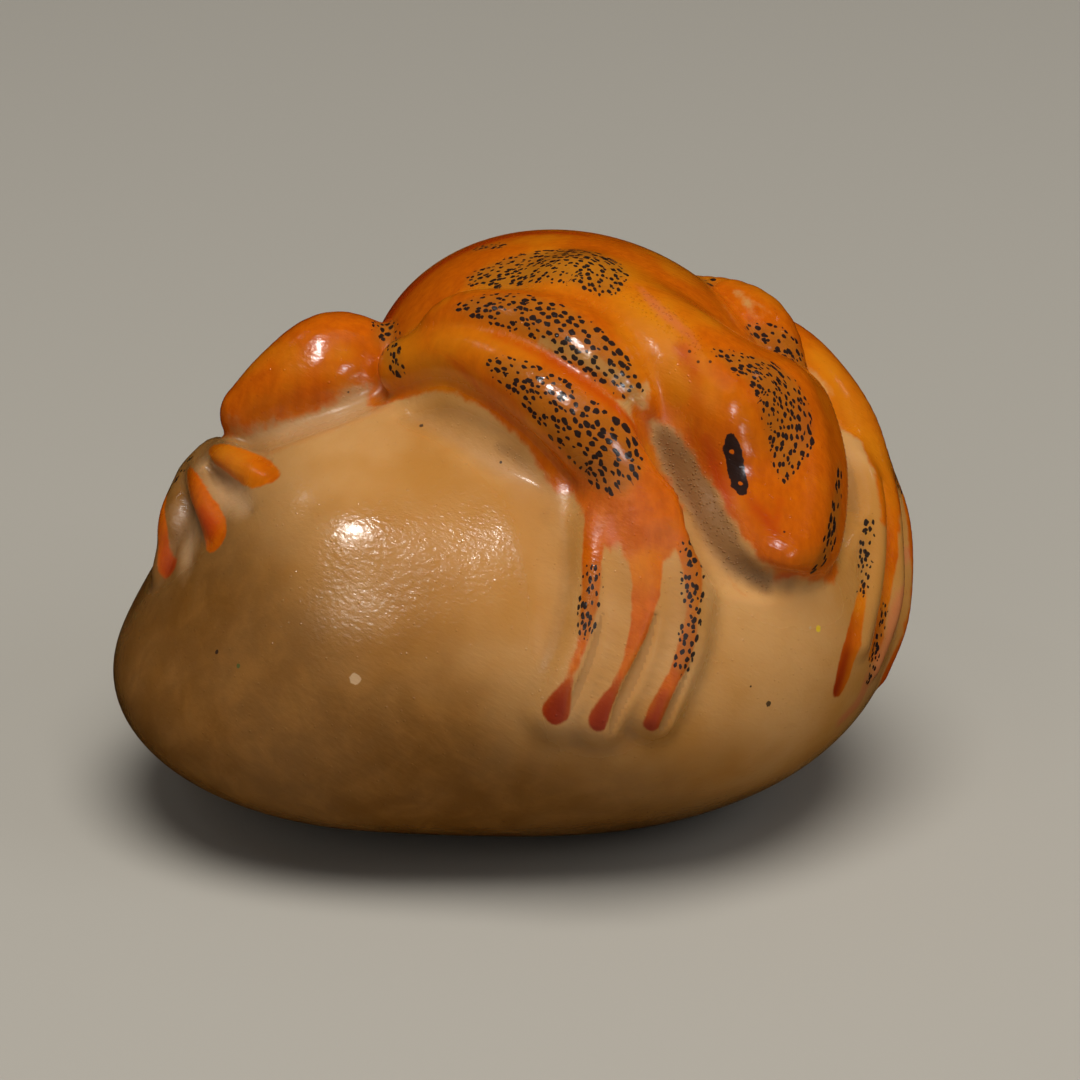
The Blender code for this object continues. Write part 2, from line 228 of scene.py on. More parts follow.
PAST_THE_NAPE, HEAD_DEPTH = 1, 4.5
HEAD_ROUNDNESS = {"crown": 1.2, "snout": 2.4, "nape": 3, "throat": 1, "neck": 2.5}
NECK_VALLEY = [
    (5.6, -11.2, 32.4, 0.2), (6.8, -11.9, 31.2, 0.5), (7.8, -12.6, 30, 0.8), (8.9, -13.4, 28.2, 1),
    (10, -14.2, 26.4, 1), (10.8, -15, 24.6, 1), (11.8, -15.6, 22.9, 1), (13.4, -15.7, 21.4, 1),
    (16.5, -14.5, 20.2, 0.8),
]
NECK_VALLEY_LIFT = [2, 1.7, 1.1, 0.6, 0.4, 0.4, 0.5, 0.7, 0.8]
FAR_VALLEY = [(18.6, -2.4, 28, 0.5), (20, -4.2, 25.5, 1.2), (20.3, -7, 23, 1.4), (19.6, -10, 20.5, 0.6)]


def on_face(points):
    """Places on the head: along it from nape to snout, across it to its right, and out from it."""
    q = points - NAPE
    return np.column_stack([q @ HEAD_ALONG, q @ HEAD_ACROSS, q @ HEAD_OUT])


def head(points):
    along, across, out = on_face(points).T
    share = np.clip(along / HEAD_LENGTH, 0, 1)
    swell = np.sin(math.pi * share)
    crown = CROWN_WIDTH - CROWN_TAPER * share**2 + CROWN_SWELL * swell
    top = out + CROWN_ARCH * (share - CROWN_TOP_AT) ** 2
    near_side = across - crown - NEAR_CHEEK_OUT - NEAR_CHEEK_SWELL * (swell + share)
    far_side = -across - crown + FAR_CHEEK_IN
    cheek = np.maximum(near_side * NEAR_CHEEK_SLOPE[0] + top * NEAR_CHEEK_SLOPE[1],
                       far_side * FAR_CHEEK_SLOPE[0] + top * FAR_CHEEK_SLOPE[1])
    snout = (along - HEAD_LENGTH) * SNOUT_SLOPE[0] - out * SNOUT_SLOPE[1]
    form = meet(top, cheek, HEAD_ROUNDNESS["crown"])
    form = meet(form, snout, HEAD_ROUNDNESS["snout"])
    form = meet(form, -along - PAST_THE_NAPE, HEAD_ROUNDNESS["nape"])
    return meet(form, -out - HEAD_DEPTH, HEAD_ROUNDNESS["throat"])


def add_head(body, neck, soft, points):
    return merge(body, merge(neck, head(points), HEAD_ROUNDNESS["neck"]), soft)


# ------------ low carving
# The limbs are left standing from the hind legs to the hands, then the head; the two valleys are cut beside
# it, and last the thin grooves between the fingers and toes.
FINGER_GROOVES = [
    [(5.3, -18.4, 20.2, 0.1), (4.95, -19, 18.9, 0.3), (4.4, -19.7, 17.2, 0.4), (3.7, -20.2, 15.4, 0.4),
     (3.3, -20.2, 14, 0.1)],
    [(8.4, -18.1, 20, 0.1), (7.9, -18.8, 18.4, 0.3), (7.1, -19.6, 16.6, 0.45), (6.3, -20.2, 14.8, 0.4),
     (5.8, -20.3, 13, 0.2)],
    [(10.5, -18.4, 17.4, 0.1), (10, -19, 16, 0.25), (9.3, -19.5, 14.4, 0.35), (8.6, -19.6, 12.6, 0.3),
     (8, -19.5, 11.4, 0.1)],
]
TOE_GROOVES = [
    [(-18.6, -2, 23, 0.3), (-17.7, -4.6, 23.2, 0.6), (-16.4, -7.2, 22.9, 0.6), (-15.4, -8.8, 22.4, 0.2)],
    [(-20.2, -1.8, 20.9, 0.3), (-20, -4.4, 20.6, 0.6), (-19.4, -7, 19.7, 0.6), (-18.6, -8.8, 18.8, 0.2)],
]
LEFT_HAND_GROOVES = [
    [(21.8, -3.4, 22, 0.2), (22.2, -5.4, 19.6, 0.5), (22, -7.4, 16.6, 0.5), (21.2, -9.4, 13.6, 0.2)],
    [(23.2, -1.4, 21, 0.2), (23.5, -3, 18, 0.5), (23.2, -4.9, 14.8, 0.5), (22.2, -6.8, 11.8, 0.2)],
    [(20.5, -5.4, 23, 0.2), (20.7, -8.4, 19.8, 0.35), (20.3, -10.6, 16.8, 0.35), (19.7, -11.8, 14.4, 0.1)],
]
HEAD_REACH = 12


def on_blank(stops, lift, soft, tool=merge):
    """One limb or cut laid on the blank: its path, the softness of its edges, and the tool."""
    return smooth_path(laid(stops, lift)), soft, tool


def knife_work():
    """Every limb and cut in the order it is worked."""
    work = [(smooth_path(leg), 0.6, merge) for leg in (RIGHT_HIND_LEG, LEFT_HIND_LEG)]
    work.append(on_blank(THIGH_HOLLOW, THIGH_HOLLOW_LIFT, 1.4, carve))
    work.append((smooth_path(THIGH_FACE), 1.2, merge))
    work += [on_blank(*toe, 0.5) for toe in zip(RIGHT_HIND_TOES, RIGHT_TOE_LIFTS)]
    work += [on_blank(toe, 0, 0.5) for toe in LEFT_HIND_TOES]
    work.append(on_blank(LEFT_FOREARM, -0.9, 0.4))
    work.append(on_blank(LEFT_UPPER_ARM, LEFT_UPPER_ARM_LIFT, 0.3))
    work.append(on_blank(RIGHT_UPPER_ARM, -0.9, 0.25))
    work += [on_blank(web, -1, 1.3) for web in RIGHT_PALM]
    work.append(on_blank(RIGHT_FOREARM, -0.7, 0.4))
    work += [on_blank(*finger, 1.2) for finger in zip(RIGHT_FINGERS, RIGHT_FINGER_LIFTS)]
    work += [on_blank(finger, LEFT_FINGER_LIFT, 0.8) for finger in LEFT_FINGERS]
    work.append((smooth_path(NECK, 14), 0.6, add_head))
    work.append(on_blank(NECK_VALLEY, NECK_VALLEY_LIFT, 0.6, carve))
    work.append(on_blank(FAR_VALLEY, 0.5, 0.6, carve))
    work += [on_blank(groove, 1, 0.15, carve) for groove in FINGER_GROOVES]
    work += [on_blank(groove, 0.7, 0.2, carve) for groove in TOE_GROOVES]
    work += [on_blank(groove, 0.9, 0.2, carve) for groove in LEFT_HAND_GROOVES]
    return work


def carving(points, work):
    """The whole carving: each limb only changes the skin within its own reach."""
    f = blank(points)
    for path, soft, tool in work:
        reach = path[:, 3].max() + 2 * soft + (HEAD_REACH if tool is add_head else 0)
        low, high = path[:, :3].min(0) - reach, path[:, :3].max(0) + reach
        near = ((points > low) & (points < high)).all(1)
        there = points[near]
        if tool is add_head:
            f[near] = add_head(f[near], tube(there, path), soft, there)
        elif near.any():
            f[near] = tool(f[near], tube(there, path), soft)
    return f


# ------------ the carved skin
# The one closed surface of the nut, shot out from a point inside it and spread out evenly, then scraped low
# beside the arm and between the toes, and rubbed flat on a small spot underneath so that it doesn't roll.
HEART = np.array((4, 0, 17))
CENTRE = np.array((0.04, -0.3, 0))
SQUARES_ACROSS = 127
LEAN_TO_FROG = np.array((0.06, -0.22, 0.26))
SHORTEST_RAY, LONGEST_RAY, HALVINGS = 8.0, 40.0, 11
EVENING_STEPS, EVENING_SHARE, LONGEST_PULL = 26, 0.6, 0.3
FLAT_CUT = 0.5
# stops, how steeply the sides go down, how deep at most, and how gently the edge starts
SCRAPED = {
    "ground beside the arm": ([(-6.5, -6.2, 27.9, 1.2), (-3.7, -7.9, 27.7, 1.7), (-1.6, -9.8, 27.2, 2),
        (0.6, -12.2, 26, 2.1), (1.7, -14.4, 24.3, 2), (2.3, -16.4, 21.8, 1.7), (2.2, -18, 19, 1.3),
        (1.6, -19.4, 16.4, 0.8)], 0.25, 0.25, 2),
    "upper toe valley": ([(-19.1, -0.4, 22.9, 0.3), (-18.4, -2.3, 23, 0.7), (-17.6, -3.9, 22.8, 0.9),
        (-16.7, -5.7, 22.6, 1.1), (-15.7, -7.7, 22.5, 0.9), (-14.9, -8.8, 22.5, 0.2)], 0.25, 0.3, 1),
    "lower toe valley": ([(-20.8, -0.9, 20.2, 0.3), (-20.3, -2.5, 20, 0.7), (-19.7, -3.7, 19.3, 0.9),
        (-19.2, -4.6, 18.5, 1.1), (-18.8, -5.9, 18, 1), (-18.5, -7.1, 17.6, 0.3)], 0.25, 0.3, 1),
}


def ball(n):
    """Directions and squares of a cube blown up to a ball, n squares to a side, closer on the frog."""
    bm = bmesh.new()
    bmesh.ops.create_cube(bm, size=2)
    bmesh.ops.subdivide_edges(bm, edges=bm.edges[:], cuts=n - 1, use_grid_fill=True)
    bm.verts.index_update()
    co = np.array([v.co for v in bm.verts])
    faces = np.array([[v.index for v in f.verts] for f in bm.faces])
    bm.free()
    co = np.tan(co * math.pi / 4)
    co = co / np.linalg.norm(co, axis=1, keepdims=True) + LEAN_TO_FROG
    return co / np.linalg.norm(co, axis=1, keepdims=True), faces


def corner_sums(faces, values, size):
    """Adds each corner's values up at its point."""
    return np.stack([np.bincount(faces.ravel(), values[..., k].ravel(), size) for k in range(3)], 1)


def normals(at, faces):
    across = np.cross(at[faces[:, 2]] - at[faces[:, 0]], at[faces[:, 3]] - at[faces[:, 1]])
    total = corner_sums(faces, np.repeat(across[:, None], 4, 1), len(at))
    return total / np.linalg.norm(total, axis=1, keepdims=True)


def spread(at, faces):
    """How far each point is from the middle of its neighbours."""
    corners = at[faces]
    beside = np.roll(corners, 1, 1) + np.roll(corners, -1, 1)
    count = np.bincount(faces.ravel(), minlength=len(at)) * 2
    return corner_sums(faces, beside, len(at)) / count[:, None] - at


def depth_of(stops, steepness, deepest, gentleness):
    """How far a scraped hollow goes down at each point of the skin."""
    inside = np.maximum(-tube(skin, smooth_path(stops)), 0) * steepness
    return deepest * np.tanh((inside / deepest) ** gentleness)


def put_in_scene(name, data):
    made = bpy.data.objects.new(name, data)
    bpy.context.scene.collection.objects.link(made)
    return made


rays, faces = ball(SQUARES_ACROSS)
work = knife_work()
low, high = np.full(len(rays), SHORTEST_RAY), np.full(len(rays), LONGEST_RAY)
for _ in range(HALVINGS):
    middle = (low + high) / 2
    inside = carving(HEART + rays * middle[:, None], work) < 0
    low = np.where(inside, middle, low)
    high = np.where(inside, high, middle)
skin = HEART + rays * low[:, None]
for _ in range(EVENING_STEPS):
    drift = spread(skin, faces)
    out = normals(skin, faces)
    skin += EVENING_SHARE * (drift - out * (drift * out).sum(1)[:, None])
    skin -= out * np.clip(carving(skin, work), -LONGEST_PULL, LONGEST_PULL)[:, None]
out = normals(skin, faces)
scraped = sum(depth_of(*scrape) for scrape in SCRAPED.values())
skin = skin - out * scraped[:, None]
out = normals(skin, faces)

nut_mesh = bpy.data.meshes.new("carved nut")
resting = skin.copy()
resting[:, 2] = np.maximum(resting[:, 2], FLAT_CUT) - FLAT_CUT
nut_mesh.from_pydata(((resting - CENTRE) / 1000).tolist(), [], faces.tolist())
nut_mesh.shade_smooth()
frog = put_in_scene("carved_frog", nut_mesh)


# ------------ where the dye goes
# Orange dye is brushed over the frog and runs out along each finger and toe. Every brush stroke is a run of
# (x, y, z, radius) stops; the skin keeps its distance to the nearest stroke, in millimetres.
DYED = {
    "elbow": [(-7.8, 1.4, 30, 2.4), (-7.9, -1, 30, 2.3), (-7.2, -3.2, 30.1, 2.2), (-5.1, -4, 31.2, 2.2)],
    "forearm": [(-5.1, -4, 31.2, 2.5), (-3.4, -6.3, 31.7, 2.3), (-1.8, -7.8, 32, 2.2),
        (-0.3, -9.1, 31.6, 2.3), (1.3, -10.5, 30.9, 2.5), (2.9, -11.9, 29.9, 2.7), (4.5, -13.1, 28.9, 2.8),
        (6, -14, 27.3, 3), (7.6, -15, 25.2, 3)],
    "upper arm": [(-5.2, -2.2, 32, 2.8), (-2, -4.4, 33.6, 2.8), (1, -6.6, 34, 2.9), (3.8, -8.8, 33.4, 2.9),
        (6, -10.2, 32, 2.2)],
    "outer finger": [(5, -15, 25.6, 1.1), (4.7, -16, 24.1, 0.8), (4.6, -16.5, 23.3, 0.75),
        (4.4, -17.9, 21.1, 0.7), (4.1, -19.1, 19.1, 0.7), (3.6, -19.7, 17.7, 0.7), (3.1, -20.2, 16.3, 0.8),
        (2.6, -20.4, 14.9, 1.1)],
    "palm": [(5, -14.2, 26, 1.4), (5.3, -15.1, 25, 0.8), (5.7, -15.6, 24.5, 0.4)],
    "palm beside it": [(7.6, -14.9, 26, 1.4), (8.2, -16.1, 24.4, 1), (8.7, -16.4, 23.2, 0.6)],
    "middle finger": [(7.6, -16, 24.6, 1.5), (7.8, -16.6, 23.1, 1.1), (7.8, -17.6, 21.1, 0.78),
        (7.2, -18.9, 18.6, 0.5), (6.4, -19.7, 16.8, 0.43), (5.4, -20.2, 15.1, 0.6), (5, -20.4, 14.1, 0.75)],
    "inner finger": [(9.8, -15.4, 24.6, 1.1), (10.2, -15.8, 23.5, 0.8), (10.5, -17, 21, 0.5),
        (10.2, -18, 18.7, 0.48), (9.8, -18.8, 17.2, 0.5), (9.3, -19.2, 16.3, 0.4), (8.7, -19.6, 15, 0.6),
        (8.1, -19.8, 13.7, 0.6)],
    "right thigh": [(-8, 1.4, 29.6, 2.9), (-10.5, 1, 29.4, 3.3), (-12.4, 1, 28.3, 3.4),
        (-14.2, 1.2, 26.8, 2.8), (-16.4, 1.8, 24.9, 2)],
    "right toe 1": [(-18.5, -0.4, 23.8, 0.35), (-17.4, -3.4, 24.3, 0.95), (-16.2, -5, 24.4, 1.15),
        (-15.2, -6.4, 24.3, 1.1), (-14.3, -7.4, 24.5, 0.6)],
    "right toe 2": [(-19.8, -0.4, 22.2, 0.3), (-19.3, -3, 22, 0.8), (-18.8, -4.9, 21.7, 0.95),
        (-18.2, -6.6, 21.1, 1.2), (-17.8, -7.4, 20.6, 1.1)],
    "right toe 3": [(-21.2, -0.3, 20, 0.5), (-21.5, -1.8, 19.1, 0.7), (-21.4, -3, 18.2, 0.8),
        (-21.2, -4.4, 17.6, 1.1)],
    "left upper arm": [(9, 8.6, 31.2, 2.2), (11.6, 6, 32.2, 2.6), (14.2, 3, 31.8, 2.8),
        (16.6, -0.4, 29.6, 2.4)],
    "left forearm": [(7.7, 10.2, 31, 2.3), (11.5, 9.6, 30.6, 2.6), (15, 7.8, 30, 2.9), (18, 5, 28.8, 3),
        (20, 2.8, 27, 2.9), (21.6, 1.2, 24.6, 2.5), (22.6, 0.4, 22, 1.9)],
    "left wrist": [(21.8, 2.6, 27.2, 1.6), (22.6, 1.2, 25.4, 1.5), (23, -0.4, 23.2, 1.3),
        (22.9, -2.6, 21.8, 1), (22.8, -4.4, 20, 0.8)],
    "left forearm's inner side": [(19.4, -1, 27.8, 1.2), (20.6, -1.2, 26, 1.2), (21.7, -1.4, 24.4, 1),
        (22.3, -3.6, 22.9, 0.8), (22.5, -6, 21.2, 0.6)],
    "left finger 1": [(23.4, 0.6, 20.5, 1.2), (23.8, -1.2, 17.5, 1), (23.4, -3.3, 13.5, 0.9),
        (22.4, -5, 10.5, 0.9)],
    "left finger 2": [(22.7, -3.6, 21.3, 0.8), (22.6, -4.8, 19.9, 0.8), (22.4, -6.2, 17.8, 0.7),
        (22.1, -7.6, 15.8, 0.6), (21.7, -9, 13.6, 0.6)],
    "left finger 3": [(20.8, -9.2, 18, 0.35), (20.5, -10.2, 16.8, 0.55), (20.2, -10.8, 15.8, 0.7),
        (19.9, -11.5, 14.4, 0.85), (19.4, -12, 12.8, 0.7)],
    "left thigh": [(9, 11.4, 28.8, 2.6), (6.4, 13.4, 28.6, 3.2), (4, 14.9, 27.2, 3), (1.8, 15.9, 25.2, 2.2)],
}
# left bare, or wiped bare again
BARE = {
    "under the forearm": [(-7.9, -5.6, 26.9, 1.9), (-5.9, -6.4, 27.2, 1.9), (-4.3, -7.2, 27.6, 1.9),
        (-3, -8.4, 27.6, 1.9), (-1.8, -9.5, 27.2, 1.9), (-0.9, -10.5, 26.6, 1.9), (-0.1, -11.6, 25.7, 1.9),
        (0.7, -12.9, 24.9, 1.9), (1.5, -14.2, 23.9, 1.9), (1.9, -15.6, 22.3, 2), (2.1, -17.2, 20.4, 1.9)],
    "between the arms": [(1.8, -9.4, 33.6, 0.2), (3.5, -10.5, 33.3, 0.35), (5.2, -11.3, 32.8, 0.4),
        (6.6, -11.7, 31.8, 0.3), (7.8, -11.7, 30.5, 0.2)],
    "neck": [(8.2, -11.7, 29.4, 0.2), (9.2, -11.9, 28, 0.9), (10.4, -12.6, 25.9, 1.15),
        (11.6, -13.7, 24, 1.2), (13.2, -14.8, 21.8, 1.2), (15.4, -14.7, 20, 1), (17.4, -13.7, 19.3, 0.9)],
    "palm": [(6, -16.3, 23.4, 0.3), (6.1, -16.8, 22.6, 0.5), (6.2, -17.2, 21.8, 0.6)],
    "beside the head": [(20.5, -5, 22.7, 0.3), (20.4, -6.2, 21.7, 0.7), (20.1, -8, 20.3, 1),
        (19.8, -9.8, 19, 1.1), (19.4, -11.2, 18.2, 1), (18.6, -12.4, 18.6, 1), (17.4, -13.7, 19, 0.9)],
}
# where fine grit is caught
GRITTY = {
    "neck": [(6.2, -5.6, 35.8, 0.4), (7.6, -6.8, 35.3, 0.9), (9.2, -8.3, 34.5, 1), (10.8, -9.6, 33.4, 0.7)],
    "neck valley": [(8.8, -11.8, 29, 0.5), (9.4, -11.9, 27.9, 1), (10.4, -12.4, 26.1, 1.1),
        (11.6, -13.5, 24.3, 1.1), (13, -14.5, 22.2, 1), (14.8, -14.2, 20.2, 0.6)],
    "beside the hand": [(-0.8, -10, 27.3, 0.25), (0.2, -10.9, 27, 0.4), (0.9, -11.7, 26.6, 0.45),
        (1.4, -12.4, 26.1, 0.45), (2, -14.1, 24.3, 0.4), (2.3, -15.2, 23.3, 0.35), (2.1, -16.7, 21.5, 0.25)],
}
FINGER_CRISPNESS = 2.4
PAST_THE_BACK, PAST_THE_NECK, SHORT_OF_THE_TOES = 0.8, 0.7, 0.3
HEAD_DYE_EDGE = ((0, 2, 5, 8, 11, 14), (6.4, 6.2, 5.9, 5.4, 4.6, 3.4))
HEAD_DYE_FAR, HEAD_DYE_TIP, HEAD_DYE_NAPE, HEAD_DYE_DEPTH = 5.2, 14, 6, 5.2


def stroke(stops):
    """Distance from the skin to one brush stroke."""
    return tube(skin, smooth_path(stops))


def strength(strokes, fade):
    """1 in the middle of the strokes, fading to 0 over that many millimetres outside them."""
    nearest = np.minimum.reduce([stroke(stops) for stops in strokes.values()])
    return np.clip(-nearest / fade, -1, 1) / 2 + 0.5


def head_dye():
    """The dye on the head stops short of the near valley and goes just round the snout."""
    along, across, out = on_face(skin).T
    near_edge = np.interp(along, *HEAD_DYE_EDGE)
    return np.maximum.reduce([across - near_edge, -across - HEAD_DYE_FAR, along - HEAD_DYE_TIP,
                              -along - HEAD_DYE_NAPE, -out - HEAD_DYE_DEPTH])


def keep(name, values):
    """Keeps a value, or three, at every point of the skin."""
    kind, key = ("FLOAT", "value") if values.ndim == 1 else ("FLOAT_VECTOR", "vector")
    nut_mesh.attributes.new(name, kind, "POINT").data.foreach_set(key, values.astype(np.float32).ravel())


dye = np.minimum(back_dome(skin) - PAST_THE_BACK, stroke(NECK) - PAST_THE_NECK)
for part, stops in DYED.items():
    crispness = FINGER_CRISPNESS if "finger" in part or "toe" in part else 1
    dye = np.minimum(dye, stroke(stops) * crispness)
for toe in LEFT_HIND_TOES:
    dye = np.minimum(dye, stroke(laid(toe, 0.4)) + SHORT_OF_THE_TOES)
dye = np.minimum(dye, head_dye())
for stops in BARE.values():
    dye = np.maximum(dye, -stroke(stops))

keep("dye", dye)
keep("gritty", strength(GRITTY, 0.6))
keep("scraped", scraped)
keep("face", on_face(skin))


# ------------ redder and yellower dye
# The dye was brushed on in several strengths: red along the arm's upper edge and the snout, darkest where it
# pooled at the tips, yellow where it is thin, and pink where it soaked into bare nut. Between the toes the
# nut is freshly cut, and in some places its polish is duller.
RED = {
    "forearm rim": [(-1.6, -7.4, 33.6, 0.1), (-1, -7.9, 33.6, 0.3), (0.6, -9.1, 33.3, 0.3),
        (2.6, -10.5, 32.7, 0.3), (4.4, -11.8, 31.8, 0.3), (6.2, -12.6, 30.6, 0.3), (7.8, -12.6, 28.8, 0.35),
        (9.6, -12.6, 26.2, 0.35), (10.4, -13.6, 24.4, 0.3), (10.9, -15.4, 22.4, 0.2)],
    "arm streak": [(-3.7, -7.2, 31.7, 0.15), (-2.7, -8.3, 31.1, 0.3), (-1.9, -8.8, 30.2, 0.25)],
    "outer fingertip": [(3.6, -19.8, 17.5, 0.3), (2.9, -20.2, 15.8, 0.8), (2.4, -20.4, 14.5, 1.2)],
    "middle fingertip": [(6.3, -19.7, 16.8, 0.3), (5.4, -20.2, 15.1, 0.7), (5, -20.4, 13.8, 1)],
    "inner fingertip": [(8.9, -19.4, 15.6, 0.2), (8.4, -19.7, 14.4, 0.5), (8, -19.8, 13.5, 0.8)],
    "thigh rim": [(-17.4, 1.6, 24.6, 1), (-16.6, 1.8, 26.2, 0.9), (-15.4, 1.8, 28, 0.6),
        (-13.6, 1.8, 30, 0.4), (-12, 1.8, 31.1, 0.2)],
    "toe 2": [(-18.6, -5.6, 21.3, 0.5), (-18.2, -7, 20.9, 0.9)],
    "toe 3": [(-21.2, -2.9, 18.4, 0.6), (-21, -4.6, 17.6, 1.1)],
    "back edge": [(-7.6, 3.6, 30.6, 1.6), (-6, 3.6, 32.8, 1.2), (-3.6, 3.8, 34.4, 0.9), (0.4, 3.6, 35.8, 0.7),
        (4.4, 2.4, 36.4, 0.5)],
    "left hand": [(23.6, -1.2, 17, 0.8), (23.2, -3.5, 13.5, 0.9), (22.2, -5, 10.5, 1)],
    "neck": [(9.9, -9.9, 33.4, 0.4), (10.6, -10.6, 32, 0.5), (10.9, -11.2, 30.4, 0.4)],
    "cheek": [(11.5, -12, 28.4, 0.45), (12.1, -12.7, 26.3, 0.55), (12.9, -13.8, 24.4, 0.3)],
    "crown": [(17, -9.6, 29.7, 0.5), (17.3, -10.1, 28.8, 0.6), (17, -10.9, 28, 0.4)],
    "snout": [(13.9, -13.6, 25.3, 0.2), (14.8, -14.1, 24.4, 0.45), (15.4, -14.4, 23.6, 0.3)],
    "snout ridge": [(15.7, -13.4, 25.2, 0.15), (15.3, -14.2, 24, 0.25)],
    "snout tip": [(15.3, -13.6, 21, 0.3), (16.2, -13.5, 20.6, 0.5), (17, -13.2, 20.6, 0.3)],
    "left third finger": [(20, -10.6, 16.8, 0.3), (19.5, -12, 14.1, 0.5), (19.1, -12.4, 12.4, 0.5)],
}
POOLED = {
    "outer fingertip": [(3.3, -20, 16.6, 0.4), (2.9, -20.2, 15.8, 0.9), (2.4, -20.4, 14.5, 1.3)],
    "middle fingertip": [(6, -19.9, 16.2, 0.3), (5.4, -20.2, 15.1, 0.7), (5, -20.4, 13.8, 1)],
    "inner fingertip": [(8.7, -19.5, 15.2, 0.2), (8.4, -19.7, 14.4, 0.4), (8, -19.8, 13.5, 0.6)],
    "toe 3": [(-21.2, -3.2, 18.2, 0.4), (-21, -4.6, 17.6, 1)],
    "left third finger": [(19.7, -11.6, 14.6, 0.3), (19.3, -12.2, 13, 0.6), (19.1, -12.4, 12.2, 0.5)],
}
PINK = {
    "neck streak": [(7.4, -5.4, 35.8, 0.15), (8, -6.6, 35.4, 0.4), (9, -7.9, 34.7, 0.55), (10.2, -9, 34, 0.4),
        (10.9, -9.8, 33.2, 0.2)],
    "palm": [(5.75, -15.5, 24.9, 0.4), (5.9, -16.1, 23.6, 0.5)],
    "left wrist": [(23.9, -2.4, 17.4, 0.6), (23.4, -6.3, 15.9, 0.8), (22.7, -7.6, 13.9, 0.9),
        (21.9, -8.9, 12.4, 0.9), (20.9, -9.4, 10.6, 0.8), (19.9, -10.6, 9.8, 0.7)],
    "right cheek tip": [(13, -13.2, 24.6, 0.25), (13.8, -13.9, 22.6, 0.3)],
}
YELLOW = {
    "elbow": [(-6.4, -3.2, 30.6, 1.4), (-4.2, -6, 30.6, 1), (-2.4, -8, 30.6, 0.6)],
    "back": [(-1.2, -2.6, 35, 1.2), (2.6, -3.8, 36.2, 1.5), (6.2, -4.2, 36.2, 1.8)],
    "left forearm": [(18.6, 1.6, 28.4, 0.9), (20.2, -0.4, 26.2, 0.9), (21.2, -2, 23.8, 0.7)],
    "left upper arm": [(13.4, 4.4, 33.4, 1.6), (15.6, 1.8, 32.4, 1)],
    "forearm": [(-4.2, -5.6, 32.2, 0.5), (-1.8, -7.4, 32.6, 0.7), (0.6, -9.2, 32.6, 0.6)],
    "neck": [(6.2, -6.4, 36, 1), (8.2, -8.4, 34.6, 1.2), (9.6, -10, 32.6, 0.8)],
    "right toe 1": [(-17.6, -2.4, 24.2, 0.6), (-16.6, -4.4, 24.5, 0.6)],
}
RAW = {
    "upper toe web": [(-18.6, -1.6, 23.1, 0.5), (-17.8, -3.4, 23, 0.9), (-16.8, -5.6, 22.7, 1.1),
        (-15.8, -7.4, 22.4, 0.9)],
    "lower toe web": [(-20.4, -2.2, 20.4, 0.5), (-19.8, -3.8, 19.5, 0.9), (-19.2, -5.2, 18.4, 1),
        (-18.8, -6.4, 17.6, 0.7)],
    "under the thigh": [(-15.5, -0.6, 24.8, 0.6), (-13.3, -2, 25.4, 1), (-10.9, -2.4, 26.5, 1.2),
        (-8.9, -2, 27.6, 1.2), (-7.4, -2.6, 27.8, 0.8)],
}
SATIN = {
    "hand": [(5, -14.6, 26, 2.2), (7.6, -15.6, 24.6, 2.2), (8, -17.4, 21, 2.8), (6.4, -18.8, 17.4, 3),
        (5.2, -19.6, 14.6, 3.2)],
    "inner finger": [(9.8, -15.4, 24.6, 1.2), (10.5, -17, 21, 1.2), (9.8, -18.8, 17.2, 1.2),
        (8.1, -19.8, 13.7, 1.2)],
    "neck valley": [(8.8, -11.6, 28.9, 1), (10.4, -12.6, 25.6, 1.5), (12.5, -14.6, 22, 1.6),
        (15.6, -14.4, 19.6, 1.4), (19, -12.4, 18.4, 1.2)],
    "toes": [(-17, -4.4, 23.6, 2), (-18.6, -5, 20.6, 2.2), (-20.6, -3.4, 18, 2.2)],
    "nut above the hand": [(1.6, -13.6, 25, 1.4), (2.4, -16.4, 21.6, 1.2), (2.2, -18.4, 18.2, 1)],
}

keep("red", strength(RED, 0.7))
keep("satin", strength(SATIN, 1))
keep("raw", strength(RAW, 1))
keep("pooled", strength(POOLED, 0.6))
keep("pink", strength(PINK, 0.5))
keep("yellow", strength(YELLOW, 1.2))


